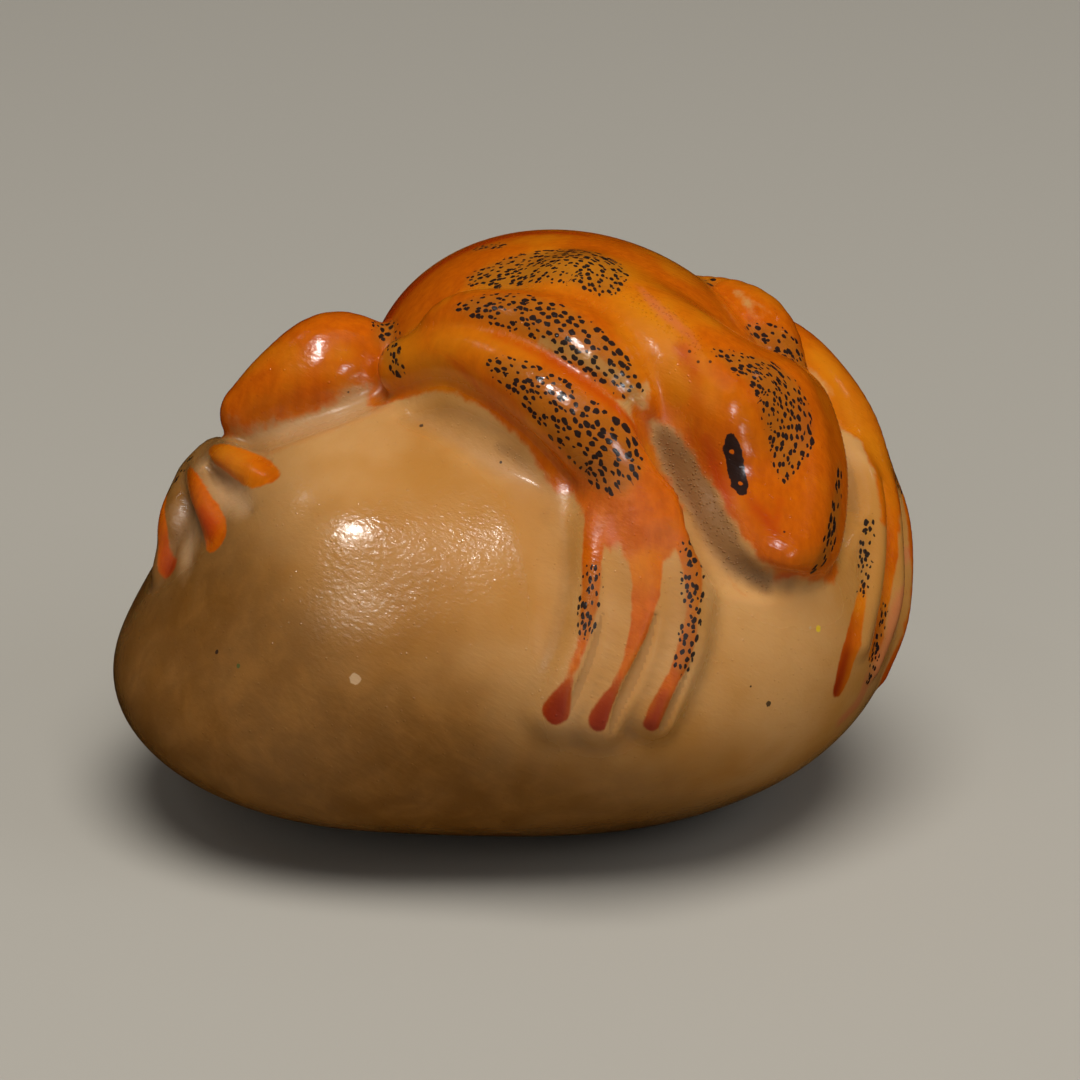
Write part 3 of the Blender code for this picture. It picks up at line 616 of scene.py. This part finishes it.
# ------------ pen dots
# Dots and short dashes set close together with a fine black pen, in patches that follow each limb. Every
# patch has how closely its dots are set, and its stops; places on it run along its path and across it.
PEN_PATCHES = {
    "back near": (1.35, [(-2.2, -1.4, 34.9, 0.8), (-1, -1.9, 35.4, 1.4), (0.8, -2.4, 35.9, 2),
        (2.9, -3, 36.3, 2.3), (4.8, -4, 36.2, 2.1), (5.6, -5.6, 35.8, 1.1)]),
    "back smudge": (1.6, [(-2, 2.8, 35.2, 0.5), (-0.7, 1.8, 35.7, 0.5)]),
    "upper arm": (1.15, [(-3.6, -4.9, 34.3, 0.5), (-1.6, -6.2, 34.9, 1.15), (0.6, -7.7, 35, 1.45),
        (2.6, -9.1, 34.5, 1.5), (4.4, -10.3, 33.6, 1.4), (5.8, -11.1, 32.6, 1.2), (6.9, -11.5, 31.4, 0.8)]),
    "back far": (1.3, [(7.4, 3.6, 35.4, 0.7), (9.6, 2.9, 34.4, 1.1), (11.6, 2.1, 32.9, 0.9)]),
    "elbow": (1.2, [(-7.6, 1.2, 30.7, 0.8), (-7.4, -0.8, 30.6, 0.9), (-7, -3.1, 30.5, 0.8),
        (-6.7, -4.1, 29.9, 0.6)]),
    "forearm": (1.15, [(-1.2, -9.7, 32.3, 0.7), (0.5, -10.9, 31.9, 1.2), (2.2, -12.3, 31, 1.6),
        (3.8, -13.3, 29.7, 1.9), (5.3, -14, 28.6, 2.1), (5.8, -14.4, 27.9, 1.9)]),
    "crown": (1.4, [(12, -9.8, 33.1, 0.3), (13.1, -9.9, 32.6, 0.8), (14.5, -9.9, 31.9, 1.4),
        (15.4, -9.9, 31.1, 1.85), (15.9, -10.3, 30, 2), (16.3, -10.8, 28.8, 1.75), (16.2, -11.4, 27.8, 1.3),
        (16, -12.1, 26.8, 0.7), (16, -12.6, 26.1, 0.25)]),
    "far cheek": (0.8, [(19.2, -9, 25.6, 0.4), (19, -10.2, 24.6, 0.7), (18.8, -11.3, 23.5, 0.9),
        (18.4, -12.7, 22.2, 0.9), (18, -13.8, 21, 0.6)]),
    "outer finger": (1.2, [(4.6, -17.3, 22.3, 0.8), (4.4, -18.2, 20.6, 0.9), (4.3, -18.9, 19.5, 0.9)]),
    "inner finger": (1.35, [(10.4, -15.9, 23.2, 0.7), (10.5, -17, 21, 0.75), (10.3, -18, 18.8, 0.65),
        (9.9, -18.8, 17.1, 0.6)]),
    "left elbow": (1.2, [(14.4, -1.6, 31.4, 0.5), (15.8, -1.9, 30.7, 1.2), (17, -2.2, 29.9, 1.3),
        (18.3, -2.6, 28.9, 0.8)]),
    "left inner finger": (1.3, [(21.4, -6.6, 21.4, 0.3), (21.2, -7.3, 20.4, 0.55), (20.9, -8.3, 19.2, 0.6),
        (20.7, -9.4, 17.8, 0.5)]),
    "left middle finger": (1.3, [(22.3, -7.4, 15.8, 0.4), (22, -8.4, 14.2, 0.55), (21.6, -9.1, 13, 0.5),
        (21.3, -9, 11.7, 0.3)]),
    "left forearm": (1.2, [(23.2, 1, 24.4, 0.7), (23.4, 0.3, 22.8, 0.9), (23.4, -0.6, 21, 0.7)]),
    "ankle": (1.3, [(-19.4, 0.6, 23.2, 0.4), (-20, 0.4, 22, 0.4), (-20.6, 0.3, 21.2, 0.4)]),
    "thigh": (1.3, [(-13.8, 2, 29.6, 0.4), (-12.6, 2.2, 30.5, 0.5)]),
    "left thigh": (1.1, [(7.4, 14.8, 30, 1.2), (4.8, 16.6, 28.6, 1.4), (2.8, 17.8, 26.8, 0.9)]),
    "rump": (1.1, [(-6.4, 6.6, 31.6, 1), (-4, 8, 32.4, 1.4), (-1.2, 8.8, 32.8, 1.1)]),
}
PATCH_REACH, BETWEEN_PATCHES, NOTHING_NEAR = 2.5, 10, 1e9
HOLLOW_STRENGTH = 40


def beside(points, path, out):
    """Distance along the path, and signed distance to the side of it."""
    best = np.full(len(points), NOTHING_NEAR)
    place = np.zeros((len(points), 2))
    gone = 0.0
    last = len(path) - 2
    for number, (start, end) in enumerate(zip(path[:-1, :3], path[1:, :3])):
        along = end - start
        length = np.linalg.norm(along)
        passed = (points - start) @ along / length**2
        away = points - start - np.clip(passed, 0, 1)[:, None] * along
        gap = np.linalg.norm(away, axis=1)
        side = np.cross(along / length, out)
        closer = gap < best
        best[closer] = gap[closer]
        passed = np.clip(passed, -9 if number == 0 else 0, 9 if number == last else 1)
        here = np.column_stack([gone + passed * length, (away * side).sum(1)])
        place[closer] = here[closer]
        gone += length
    return place


pen = np.full(len(skin), NOTHING_NEAR)
pen_place = np.zeros((len(skin), 3))
for number, (closeness, stops) in enumerate(PEN_PATCHES.values()):
    path = smooth_path(stops)
    reach = tube(skin, path)
    near = (reach < PATCH_REACH) & (reach < pen)
    pen_place[near, :2] = beside(skin[near], path, out[near]) * closeness
    pen_place[near, 2] = BETWEEN_PATCHES * number
    pen = np.minimum(pen, reach)
keep("pen", pen)
keep("pen_place", pen_place)
# how hollow the skin is, which darkens the colour there as grime and painted shade
keep("hollow", np.clip((spread(skin, faces) * out).sum(1) * HOLLOW_STRENGTH, -1, 1))


# ------------ ivory, dye, ink and polish
# Tagua is a hard ivory-like seed, cream to honey inside with brown skin left towards the nose; the nut is
# also painted darker low down as shade from above, and in its hollows. The dye is translucent, the ink is
# black, and a thin wax polish over all shows fine wrinkles and caught grit.
IVORY = (0.585, 0.31, 0.108)
HONEY = (0.47, 0.21, 0.045)
NUT_BROWN_AND_SHADE = (0.115, 0.042, 0.005)
GREY_TAN = (0.2, 0.095, 0.035)
RAW_BEIGE = (0.5, 0.29, 0.135)
DEEP_ORANGE = (0.43, 0.072, 0.001)
ORANGE = (0.61, 0.125, 0.001)
YELLOW_ORANGE = (0.65, 0.22, 0.005)
RED_ORANGE = (0.45, 0.045, 0.001)
POOLED_RED = (0.21, 0.013, 0.0005)
BLUSH = (0.56, 0.13, 0.06)
INKED_OCHRE = (0.3, 0.12, 0.012)
INK = (0.012, 0.01, 0.01)
PALE_CHIP = (0.55, 0.36, 0.2)
BRIGHT_YELLOW = (0.72, 0.48, 0.01)
MOSS = (0.07, 0.1, 0.03)


def put(tree, kind, inputs=None, **settings):
    """Adds a node with its settings, and fills or joins its inputs."""
    made = tree.nodes.new(kind)
    for name, value in settings.items():
        setattr(made, name, value)
    for socket, value in (inputs or {}).items():
        if isinstance(value, bpy.types.NodeSocket):
            tree.links.new(value, made.inputs[socket])
        else:
            made.inputs[socket].default_value = value
    return made


def sum_of(tree, operation, *values):
    return put(tree, "ShaderNodeMath", dict(enumerate(values)), operation=operation).outputs[0]


def vector_sum(tree, operation, *values):
    return put(tree, "ShaderNodeVectorMath", dict(enumerate(values)), operation=operation).outputs[0]


def plus(tree, value, other, share=1):
    """A value with another, or a share of it, added to it."""
    return sum_of(tree, "MULTIPLY_ADD", other, share, value)


def swing(tree, value, strength):
    """Turns a value from 0 to 1 into one that swings that strongly to each side of 0."""
    return sum_of(tree, "MULTIPLY", sum_of(tree, "SUBTRACT", value, 0.5), strength)


def ramp(tree, value, start, end, to_start=0, to_end=1):
    """A soft step from one value to another while the input goes from start to end."""
    return put(tree, "ShaderNodeMapRange", {0: value, 1: start, 2: end, 3: to_start, 4: to_end},
               interpolation_type="SMOOTHSTEP").outputs[0]


def mottle(tree, place, size, detail=2, roughness=0.5, distortion=0):
    """Noise from 0 to 1 whose patches are about that many millimetres across."""
    return put(tree, "ShaderNodeTexNoise", {"Vector": place, "Scale": 1 / size, "Detail": detail,
               "Roughness": roughness, "Distortion": distortion}).outputs["Fac"]


def new_group(name, inputs, outputs):
    group = bpy.data.node_groups.new(name, "ShaderNodeTree")
    for label, kind in inputs.items():
        group.interface.new_socket(label, in_out="INPUT", socket_type=kind)
    for label, kind in outputs.items():
        group.interface.new_socket(label, in_out="OUTPUT", socket_type=kind)
    return group, group.nodes.new("NodeGroupInput").outputs, group.nodes.new("NodeGroupOutput").inputs


# a speck of any colour, round but ragged
speck_group, given, gives = new_group(
    "caught speck", {"Place": "NodeSocketVector", "Centre": "NodeSocketVector",
                     "Radius": "NodeSocketFloat", "Raggedness": "NodeSocketFloat"},
    {"Speck": "NodeSocketFloat"})
apart = put(speck_group, "ShaderNodeVectorMath", {0: given["Place"], 1: given["Centre"]},
            operation="DISTANCE").outputs["Value"]
rough_edge = swing(speck_group, mottle(speck_group, given["Place"], 0.3), given["Raggedness"])
share = sum_of(speck_group, "DIVIDE", sum_of(speck_group, "ADD", apart, rough_edge), given["Radius"])
speck_group.links.new(ramp(speck_group, share, 1.15, 0.85), gives["Speck"])

# dots longer than wide, of uneven size, a few left out, none past the edge of their patch
DOT_WANDER = (0.3, 0.3, 0)
DOT_SPACING = (1.55, 2.45, 0)
DOT_SIZES = (0.22, 0.46)
DOTS_LEFT_OUT = 0.13
dots_group, given, gives = new_group(
    "pen dots", {"Place": "NodeSocketVector", "Patch": "NodeSocketFloat", "Size": "NodeSocketFloat"},
    {"Ink": "NodeSocketFloat"})
wander = put(dots_group, "ShaderNodeTexNoise", {"Vector": given["Place"], "Scale": 2.2, "Detail": 1}
             ).outputs["Color"]
wander = vector_sum(dots_group, "SUBTRACT", wander, (0.5, 0.5, 0.5))
wandered = vector_sum(dots_group, "MULTIPLY_ADD", wander, DOT_WANDER, given["Place"])
stretched = vector_sum(dots_group, "MULTIPLY", wandered, DOT_SPACING)
cells = put(dots_group, "ShaderNodeTexVoronoi", {"Vector": stretched, "Scale": 1, "Randomness": 0.82},
            voronoi_dimensions="2D")
chance = put(dots_group, "ShaderNodeSeparateColor", {0: cells.outputs["Color"]}).outputs
size = sum_of(dots_group, "MULTIPLY", ramp(dots_group, chance[0], 0, 1, *DOT_SIZES), given["Size"])
size = sum_of(dots_group, "MULTIPLY", size, ramp(dots_group, given["Patch"], 0.12, -0.12))
size = sum_of(dots_group, "MULTIPLY", size, sum_of(dots_group, "GREATER_THAN", chance[1], DOTS_LEFT_OUT))
ink = ramp(dots_group, sum_of(dots_group, "SUBTRACT", cells.outputs["Distance"], size), 0.03, -0.035)
dots_group.links.new(ink, gives["Ink"])

nut = bpy.data.materials.new("carved and dyed tagua")
nut.use_nodes = True
tree = nut.node_tree
shader = tree.nodes["Principled BSDF"]
metres = put(tree, "ShaderNodeTexCoord").outputs["Object"]
place = put(tree, "ShaderNodeVectorMath", {0: metres, "Scale": 1000}, operation="SCALE").outputs[0]
height = put(tree, "ShaderNodeSeparateXYZ", {0: place}).outputs


def kept(name, output="Fac"):
    return put(tree, "ShaderNodeAttribute", attribute_name=name).outputs[output]


def lay_over(colour, shade, share, strength=None):
    """Lays a shade over a colour, as thickly as the share says."""
    if strength:
        share = sum_of(tree, "MULTIPLY", share, strength)
    colour, shade = [c if isinstance(c, bpy.types.NodeSocket) else (*c, 1) for c in (colour, shade)]
    return put(tree, "ShaderNodeMix", {0: share, 6: colour, 7: shade}, data_type="RGBA").outputs[2]


# the bare nut: browner low down and towards the nose, partly brown skin and partly painted shade from above,
# with grime and painted shade in hollows and grit in the valleys
BROWN_ABOVE, BROWN_BELOW, BROWN_LEAN, BROWN_STRENGTH = 24, 10.5, 0.55, 0.8
colour = lay_over(HONEY, IVORY, ramp(tree, mottle(tree, place, 9, 3, 0.55), 0.35, 0.68))
# painted shade: the bare nut is darker low down and towards the nose as if lit from above, partly also its
# brown skin
up_the_nut = plus(tree, plus(tree, height["Z"], mottle(tree, place, 7), 6), height["X"], BROWN_LEAN)
colour = lay_over(colour, NUT_BROWN_AND_SHADE, ramp(tree, up_the_nut, BROWN_ABOVE, BROWN_BELOW), BROWN_STRENGTH)
blotch = ramp(tree, mottle(tree, place, 2.2, 4, 0.6, 0.4), 0.35, 0.75)
colour = lay_over(colour, HONEY, blotch, 0.22)
# painted shade with grime: the bare nut is darker where the skin is hollow
grime_and_shade = ramp(tree, plus(tree, kept("hollow"), mottle(tree, place, 0.6), 0.3), 0.15, 0.75)
colour = lay_over(colour, GREY_TAN, grime_and_shade, 0.3)
gritty = kept("gritty")
patchy = mottle(tree, place, 0.8)
colour = lay_over(colour, GREY_TAN, ramp(tree, plus(tree, gritty, patchy, 0.3), 0.4, 1.1, 0, 0.75))
colour = lay_over(colour, RAW_BEIGE, ramp(tree, plus(tree, kept("raw"), patchy, 0.3), 0.3, 1.1, 0, 0.8))

# the dye: streaked up and down by the brush, with a ragged edge
BRUSH_STRETCH = (1, 1, 0.3)
brushing = mottle(tree, vector_sum(tree, "MULTIPLY", place, BRUSH_STRETCH), 0.5, 3, 0.6)
ragged = plus(tree, kept("dye"), swing(tree, mottle(tree, place, 1.4, 3, 0.6), 0.9))
ragged = plus(tree, ragged, swing(tree, brushing, 0.5))
dyed = ramp(tree, ragged, 0.2, -0.25)
tint = lay_over(DEEP_ORANGE, ORANGE, ramp(tree, brushing, 0.2, 0.8, 0.2, 0.9))
tint = lay_over(tint, YELLOW_ORANGE, ramp(tree, mottle(tree, place, 4), 0.45, 0.75, 0, 0.5))
tint = lay_over(tint, YELLOW_ORANGE, kept("yellow"), 0.75)
red = plus(tree, kept("red"), swing(tree, brushing, 0.5))
tint = lay_over(tint, RED_ORANGE, ramp(tree, red, 0.25, 0.95, 0, 0.92))
tint = lay_over(tint, POOLED_RED, kept("pooled"), 0.9)
colour = lay_over(colour, tint, dyed, 0.99)
pink = plus(tree, kept("pink"), swing(tree, brushing, 0.6))
colour = lay_over(colour, BLUSH, ramp(tree, pink, 0.4, 1, 0, 0.5))

# the pen, and the ochre that its ink washed out to
patch = kept("pen")
colour = lay_over(colour, INKED_OCHRE, ramp(tree, patch, 0.3, -0.6, 0, 0.55))
dots = put(tree, "ShaderNodeGroup", {"Place": kept("pen_place", "Vector"), "Patch": patch, "Size": 1},
           node_tree=dots_group)

# the eye: a long narrow blot with cut corners, leaning in at the bottom, with two nicks left in it
EYE = (6.8, 3.2)
EYE_HALF_LENGTH, EYE_HALF_WIDTH = 1.66, 0.49
EYE_LEAN = 0.16
EYE_CUT = 0.45
EYE_NICKS = [(-0.75, 0.05, 0), (1, -0.05, 0)]
NICK_RADIUS, NICK_RAGGEDNESS = 0.13, 0.2
face = put(tree, "ShaderNodeSeparateXYZ", {0: kept("face", "Vector")}).outputs
along = sum_of(tree, "SUBTRACT", face["X"], EYE[0])
across = plus(tree, sum_of(tree, "SUBTRACT", face["Y"], EYE[1]), along, EYE_LEAN)
length, width = [sum_of(tree, "ABSOLUTE", v) for v in (along, across)]
corner = plus(tree, width, length, EYE_CUT)
eye = sum_of(tree, "MAXIMUM", sum_of(tree, "SUBTRACT", width, EYE_HALF_WIDTH),
             sum_of(tree, "SUBTRACT", length, EYE_HALF_LENGTH))
eye = sum_of(tree, "MAXIMUM", eye,
             sum_of(tree, "SUBTRACT", corner, (EYE_HALF_LENGTH + EYE_HALF_WIDTH) * EYE_CUT))
eye = ramp(tree, plus(tree, eye, swing(tree, mottle(tree, place, 0.4), 0.3)), 0.03, -0.03)
eye = sum_of(tree, "MULTIPLY", eye, ramp(tree, face["Z"], -2.5, -2))
spot = put(tree, "ShaderNodeCombineXYZ", {0: along, 1: across}).outputs[0]
for nick in EYE_NICKS:
    left_bare = put(tree, "ShaderNodeGroup", {0: spot, 1: nick, 2: NICK_RADIUS, 3: NICK_RAGGEDNESS},
                    node_tree=speck_group)
    eye = sum_of(tree, "MULTIPLY", eye, sum_of(tree, "SUBTRACT", 1, left_bare.outputs["Speck"]))
colour = lay_over(colour, INK, sum_of(tree, "MAXIMUM", dots.outputs["Ink"], eye), 0.97)

# specks, flecks and chips caught in the surface or knocked out of it: place, radius, raggedness, shade
MARKS = [
    ((-17.38, -12.48, 14.82), 0.14, 0.1, INK), ((-16.09, -13.92, 14.55), 0.14, 0.15, MOSS),
    ((-9.11, -17.02, 15.1), 0.34, 0.35, PALE_CHIP), ((-5.34, -6.35, 26.78), 0.12, 0.2, INK),
    ((-9.81, -1.33, 27.01), 0.07, 0.05, INK), ((-0.64, -10.15, 25.94), 0.09, 0.05, INK),
    ((18.04, -12.93, 16.54), 0.2, 0.15, BRIGHT_YELLOW), ((17.54, -13.34, 16.75), 0.09, 0.05, PALE_CHIP),
    ((15.05, -15.72, 12.9), 0.16, 0.35, INK), ((13.95, -16.32, 14.3), 0.07, 0.05, INK),
    ((10.36, -9.71, 32.7), 0.1, 0.05, INK), ((10.86, -10.13, 32.21), 0.1, 0.05, INK),
    ((11.56, -10.06, 32.19), 0.1, 0.05, INK), ((15.86, -14.03, 23.11), 0.07, 0.03, INK),
]
for centre, radius, raggedness, shade in MARKS:
    speck = put(tree, "ShaderNodeGroup", {0: place, 1: centre, 2: radius, 3: raggedness},
                node_tree=speck_group)
    colour = lay_over(colour, shade, speck.outputs["Speck"], 0.85)
tree.links.new(colour, shader.inputs["Base Color"])

# the polish: wrinkles slanting down the nut, soft lumps, a few grains all over and many in the valleys
WRINKLE_TURN, WRINKLE_STRETCH = (0, 0.52, 0), (3, 1, 1)
WRINKLE_DEPTH, LUMP_DEPTH, GRAIN_HEIGHT, VALLEY_GRAIN_HEIGHT = 0.028, 0.02, 0.02, 0.045
turned = put(tree, "ShaderNodeMapping", {"Vector": place, "Rotation": WRINKLE_TURN,
             "Scale": WRINKLE_STRETCH}, vector_type="TEXTURE").outputs[0]


def grains(closeness, start, end):
    """Round grains this close together, as high as 1 in the middle."""
    cells = put(tree, "ShaderNodeTexVoronoi", {"Vector": place, "Scale": closeness, "Randomness": 1})
    return ramp(tree, cells.outputs["Distance"], start, end)


skin_height = sum_of(tree, "MULTIPLY", mottle(tree, turned, 0.26, 2, 0.6), WRINKLE_DEPTH)
skin_height = plus(tree, skin_height, mottle(tree, place, 2.5, 1), LUMP_DEPTH)
skin_height = plus(tree, skin_height, grains(1.6, 0.16, 0.03), GRAIN_HEIGHT)
in_valleys = sum_of(tree, "MULTIPLY", grains(4.5, 0.35, 0.1), ramp(tree, gritty, 0.3, 0.8))
skin_height = plus(tree, skin_height, in_valleys, VALLEY_GRAIN_HEIGHT)
bump = put(tree, "ShaderNodeBump", {"Height": skin_height, "Distance": 0.001, "Strength": 1})
tree.links.new(bump.outputs[0], shader.inputs["Normal"])

BARE_GLOSS, GLOSS_MOTTLE, GRIME_DULLNESS, SCRAPED_DULLNESS, SATIN_DULLNESS = 0.12, 0.12, 0.15, 0.3, 0.28
satin = kept("satin")
gloss = plus(tree, BARE_GLOSS, mottle(tree, place, 1.2, 3), GLOSS_MOTTLE)
gloss = plus(tree, gloss, grime_and_shade, GRIME_DULLNESS)
gloss = plus(tree, gloss, ramp(tree, kept("scraped"), 0.02, 0.2, 0, SCRAPED_DULLNESS))
gloss = plus(tree, gloss, satin, SATIN_DULLNESS)
tree.links.new(gloss, shader.inputs["Roughness"])
tree.links.new(ramp(tree, satin, 0.2, 0.6, 0.2, 0), shader.inputs["Coat Weight"])
for socket, value in {"Metallic": 0, "IOR": 1.46, "Coat Roughness": 0.12, "Subsurface Weight": 0.2,
                      "Subsurface Radius": (1, 0.45, 0.2), "Subsurface Scale": 0.001}.items():
    shader.inputs[socket].default_value = value
nut_mesh.materials.append(nut)

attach(frog, "root")
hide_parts("frog_carving")


# ------------ floor, light and camera
# A plain pale sweep under soft studio light, seen from the front and a little above. Some lamps only light
# the nut and others only show as gleams in its polish.
FLOOR_SHADE = (0.43, 0.413, 0.373)
TARGET = np.array((-0.04, 0.3, 18)) / 1000
CAMERA_TILT = math.radians(22)
CAMERA_DISTANCE = 0.33
ROOM_SHADE, ROOM_STRENGTH = (1, 0.96, 0.9), 0.09

floor_mesh = bpy.data.meshes.new("floor")
floor_mesh.from_pydata([(-2, -2, 0), (2, -2, 0), (2, 2, 0), (-2, 2, 0)], [], [(0, 1, 2, 3)])
pale = bpy.data.materials.new("pale floor")
pale.use_nodes = True
matte = pale.node_tree.nodes["Principled BSDF"].inputs
matte["Base Color"].default_value = (*FLOOR_SHADE, 1)
matte["Roughness"].default_value = 0.9
floor_mesh.materials.append(pale)
floor = put_in_scene("floor", floor_mesh)
floor.visible_glossy = False


def aim(thing, place):
    """Puts a light or the camera at a place, looking at the middle of the nut."""
    back = (place - TARGET) / np.linalg.norm(place - TARGET)
    right = np.cross((0, 0, 1), back)
    right /= np.linalg.norm(right)
    up = np.cross(back, right)
    thing.matrix_world = Matrix([[*row, p] for row, p in zip(np.column_stack([right, up, back]), place)]
                                + [[0, 0, 0, 1]])


def softbox(name, towards, distance, size, watts, warmth, lights):
    """A soft lamp that either lights the nut or shows as a gleam in its polish."""
    lamp = bpy.data.lights.new(name, "AREA")
    lamp.shape = "ELLIPSE"
    lamp.size, lamp.size_y = size
    lamp.energy = watts
    lamp.color = warmth
    thing = put_in_scene(name, lamp)
    aim(thing, TARGET + np.array(towards) / np.linalg.norm(towards) * distance)
    thing.visible_diffuse = lights
    thing.visible_glossy = not lights


# each lamp's direction, distance, size, watts and colour
LIGHTS = {
    "overhead": ((0.05, -0.34, 0.94), 0.7, (0.5, 0.5), 4.8, (1, 0.96, 0.9)),
    "side": ((0.75, -0.35, 0.56), 0.8, (0.5, 0.4), 0.8, (0.95, 0.97, 1)),
    "front fill": ((-0.3, -0.85, 0.42), 0.8, (0.5, 0.4), 0.6, (1, 0.93, 0.85)),
}
GLEAMS = {
    "key gleam": ((-0.42, -0.47, 0.78), 0.6, (0.085, 0.035), 1.1, (1, 0.97, 0.92)),
    "low key gleam": ((-0.46, -0.57, 0.68), 0.6, (0.07, 0.05), 0.12, (1, 0.97, 0.92)),
    "window gleam": ((0.28, -0.89, 0.36), 0.7, (0.07, 0.1), 0.4, (0.85, 0.93, 1)),
    "low window gleam": ((0.5, -0.86, -0.01), 0.7, (0.04, 0.03), 0.12, (1, 0.96, 0.92)),
    "high gleam": ((-0.66, 0.16, 0.73), 0.7, (0.06, 0.04), 0.05, (1, 1, 1)),
    "side gleam": ((0.69, 0.26, 0.67), 0.7, (0.06, 0.04), 0.03, (1, 1, 1)),
    "top gleam": ((-0.05, -0.45, 0.89), 0.7, (0.03, 0.03), 0.02, (1, 1, 1)),
}
for name, lamp in LIGHTS.items():
    softbox(name, *lamp, lights=True)
for name, lamp in GLEAMS.items():
    softbox(name, *lamp, lights=False)

world = bpy.data.worlds.new("soft room")
world.use_nodes = True
room = world.node_tree.nodes["Background"].inputs
room["Color"].default_value = (*ROOM_SHADE, 1)
room["Strength"].default_value = ROOM_STRENGTH
bpy.context.scene.world = world
world.cycles_visibility.glossy = False

camera = bpy.data.cameras.new("camera")
camera.sensor_width = 36
camera.lens = 180.4
camera.shift_x, camera.shift_y = 0.02685, -0.01759
camera.clip_start = 0.01
camera_object = put_in_scene("camera", camera)
towards_camera = np.array((0, -math.cos(CAMERA_TILT), math.sin(CAMERA_TILT)))
aim(camera_object, TARGET + CAMERA_DISTANCE * towards_camera)
bpy.context.scene.camera = camera_object
bpy.context.scene.view_settings.view_transform = "Standard"
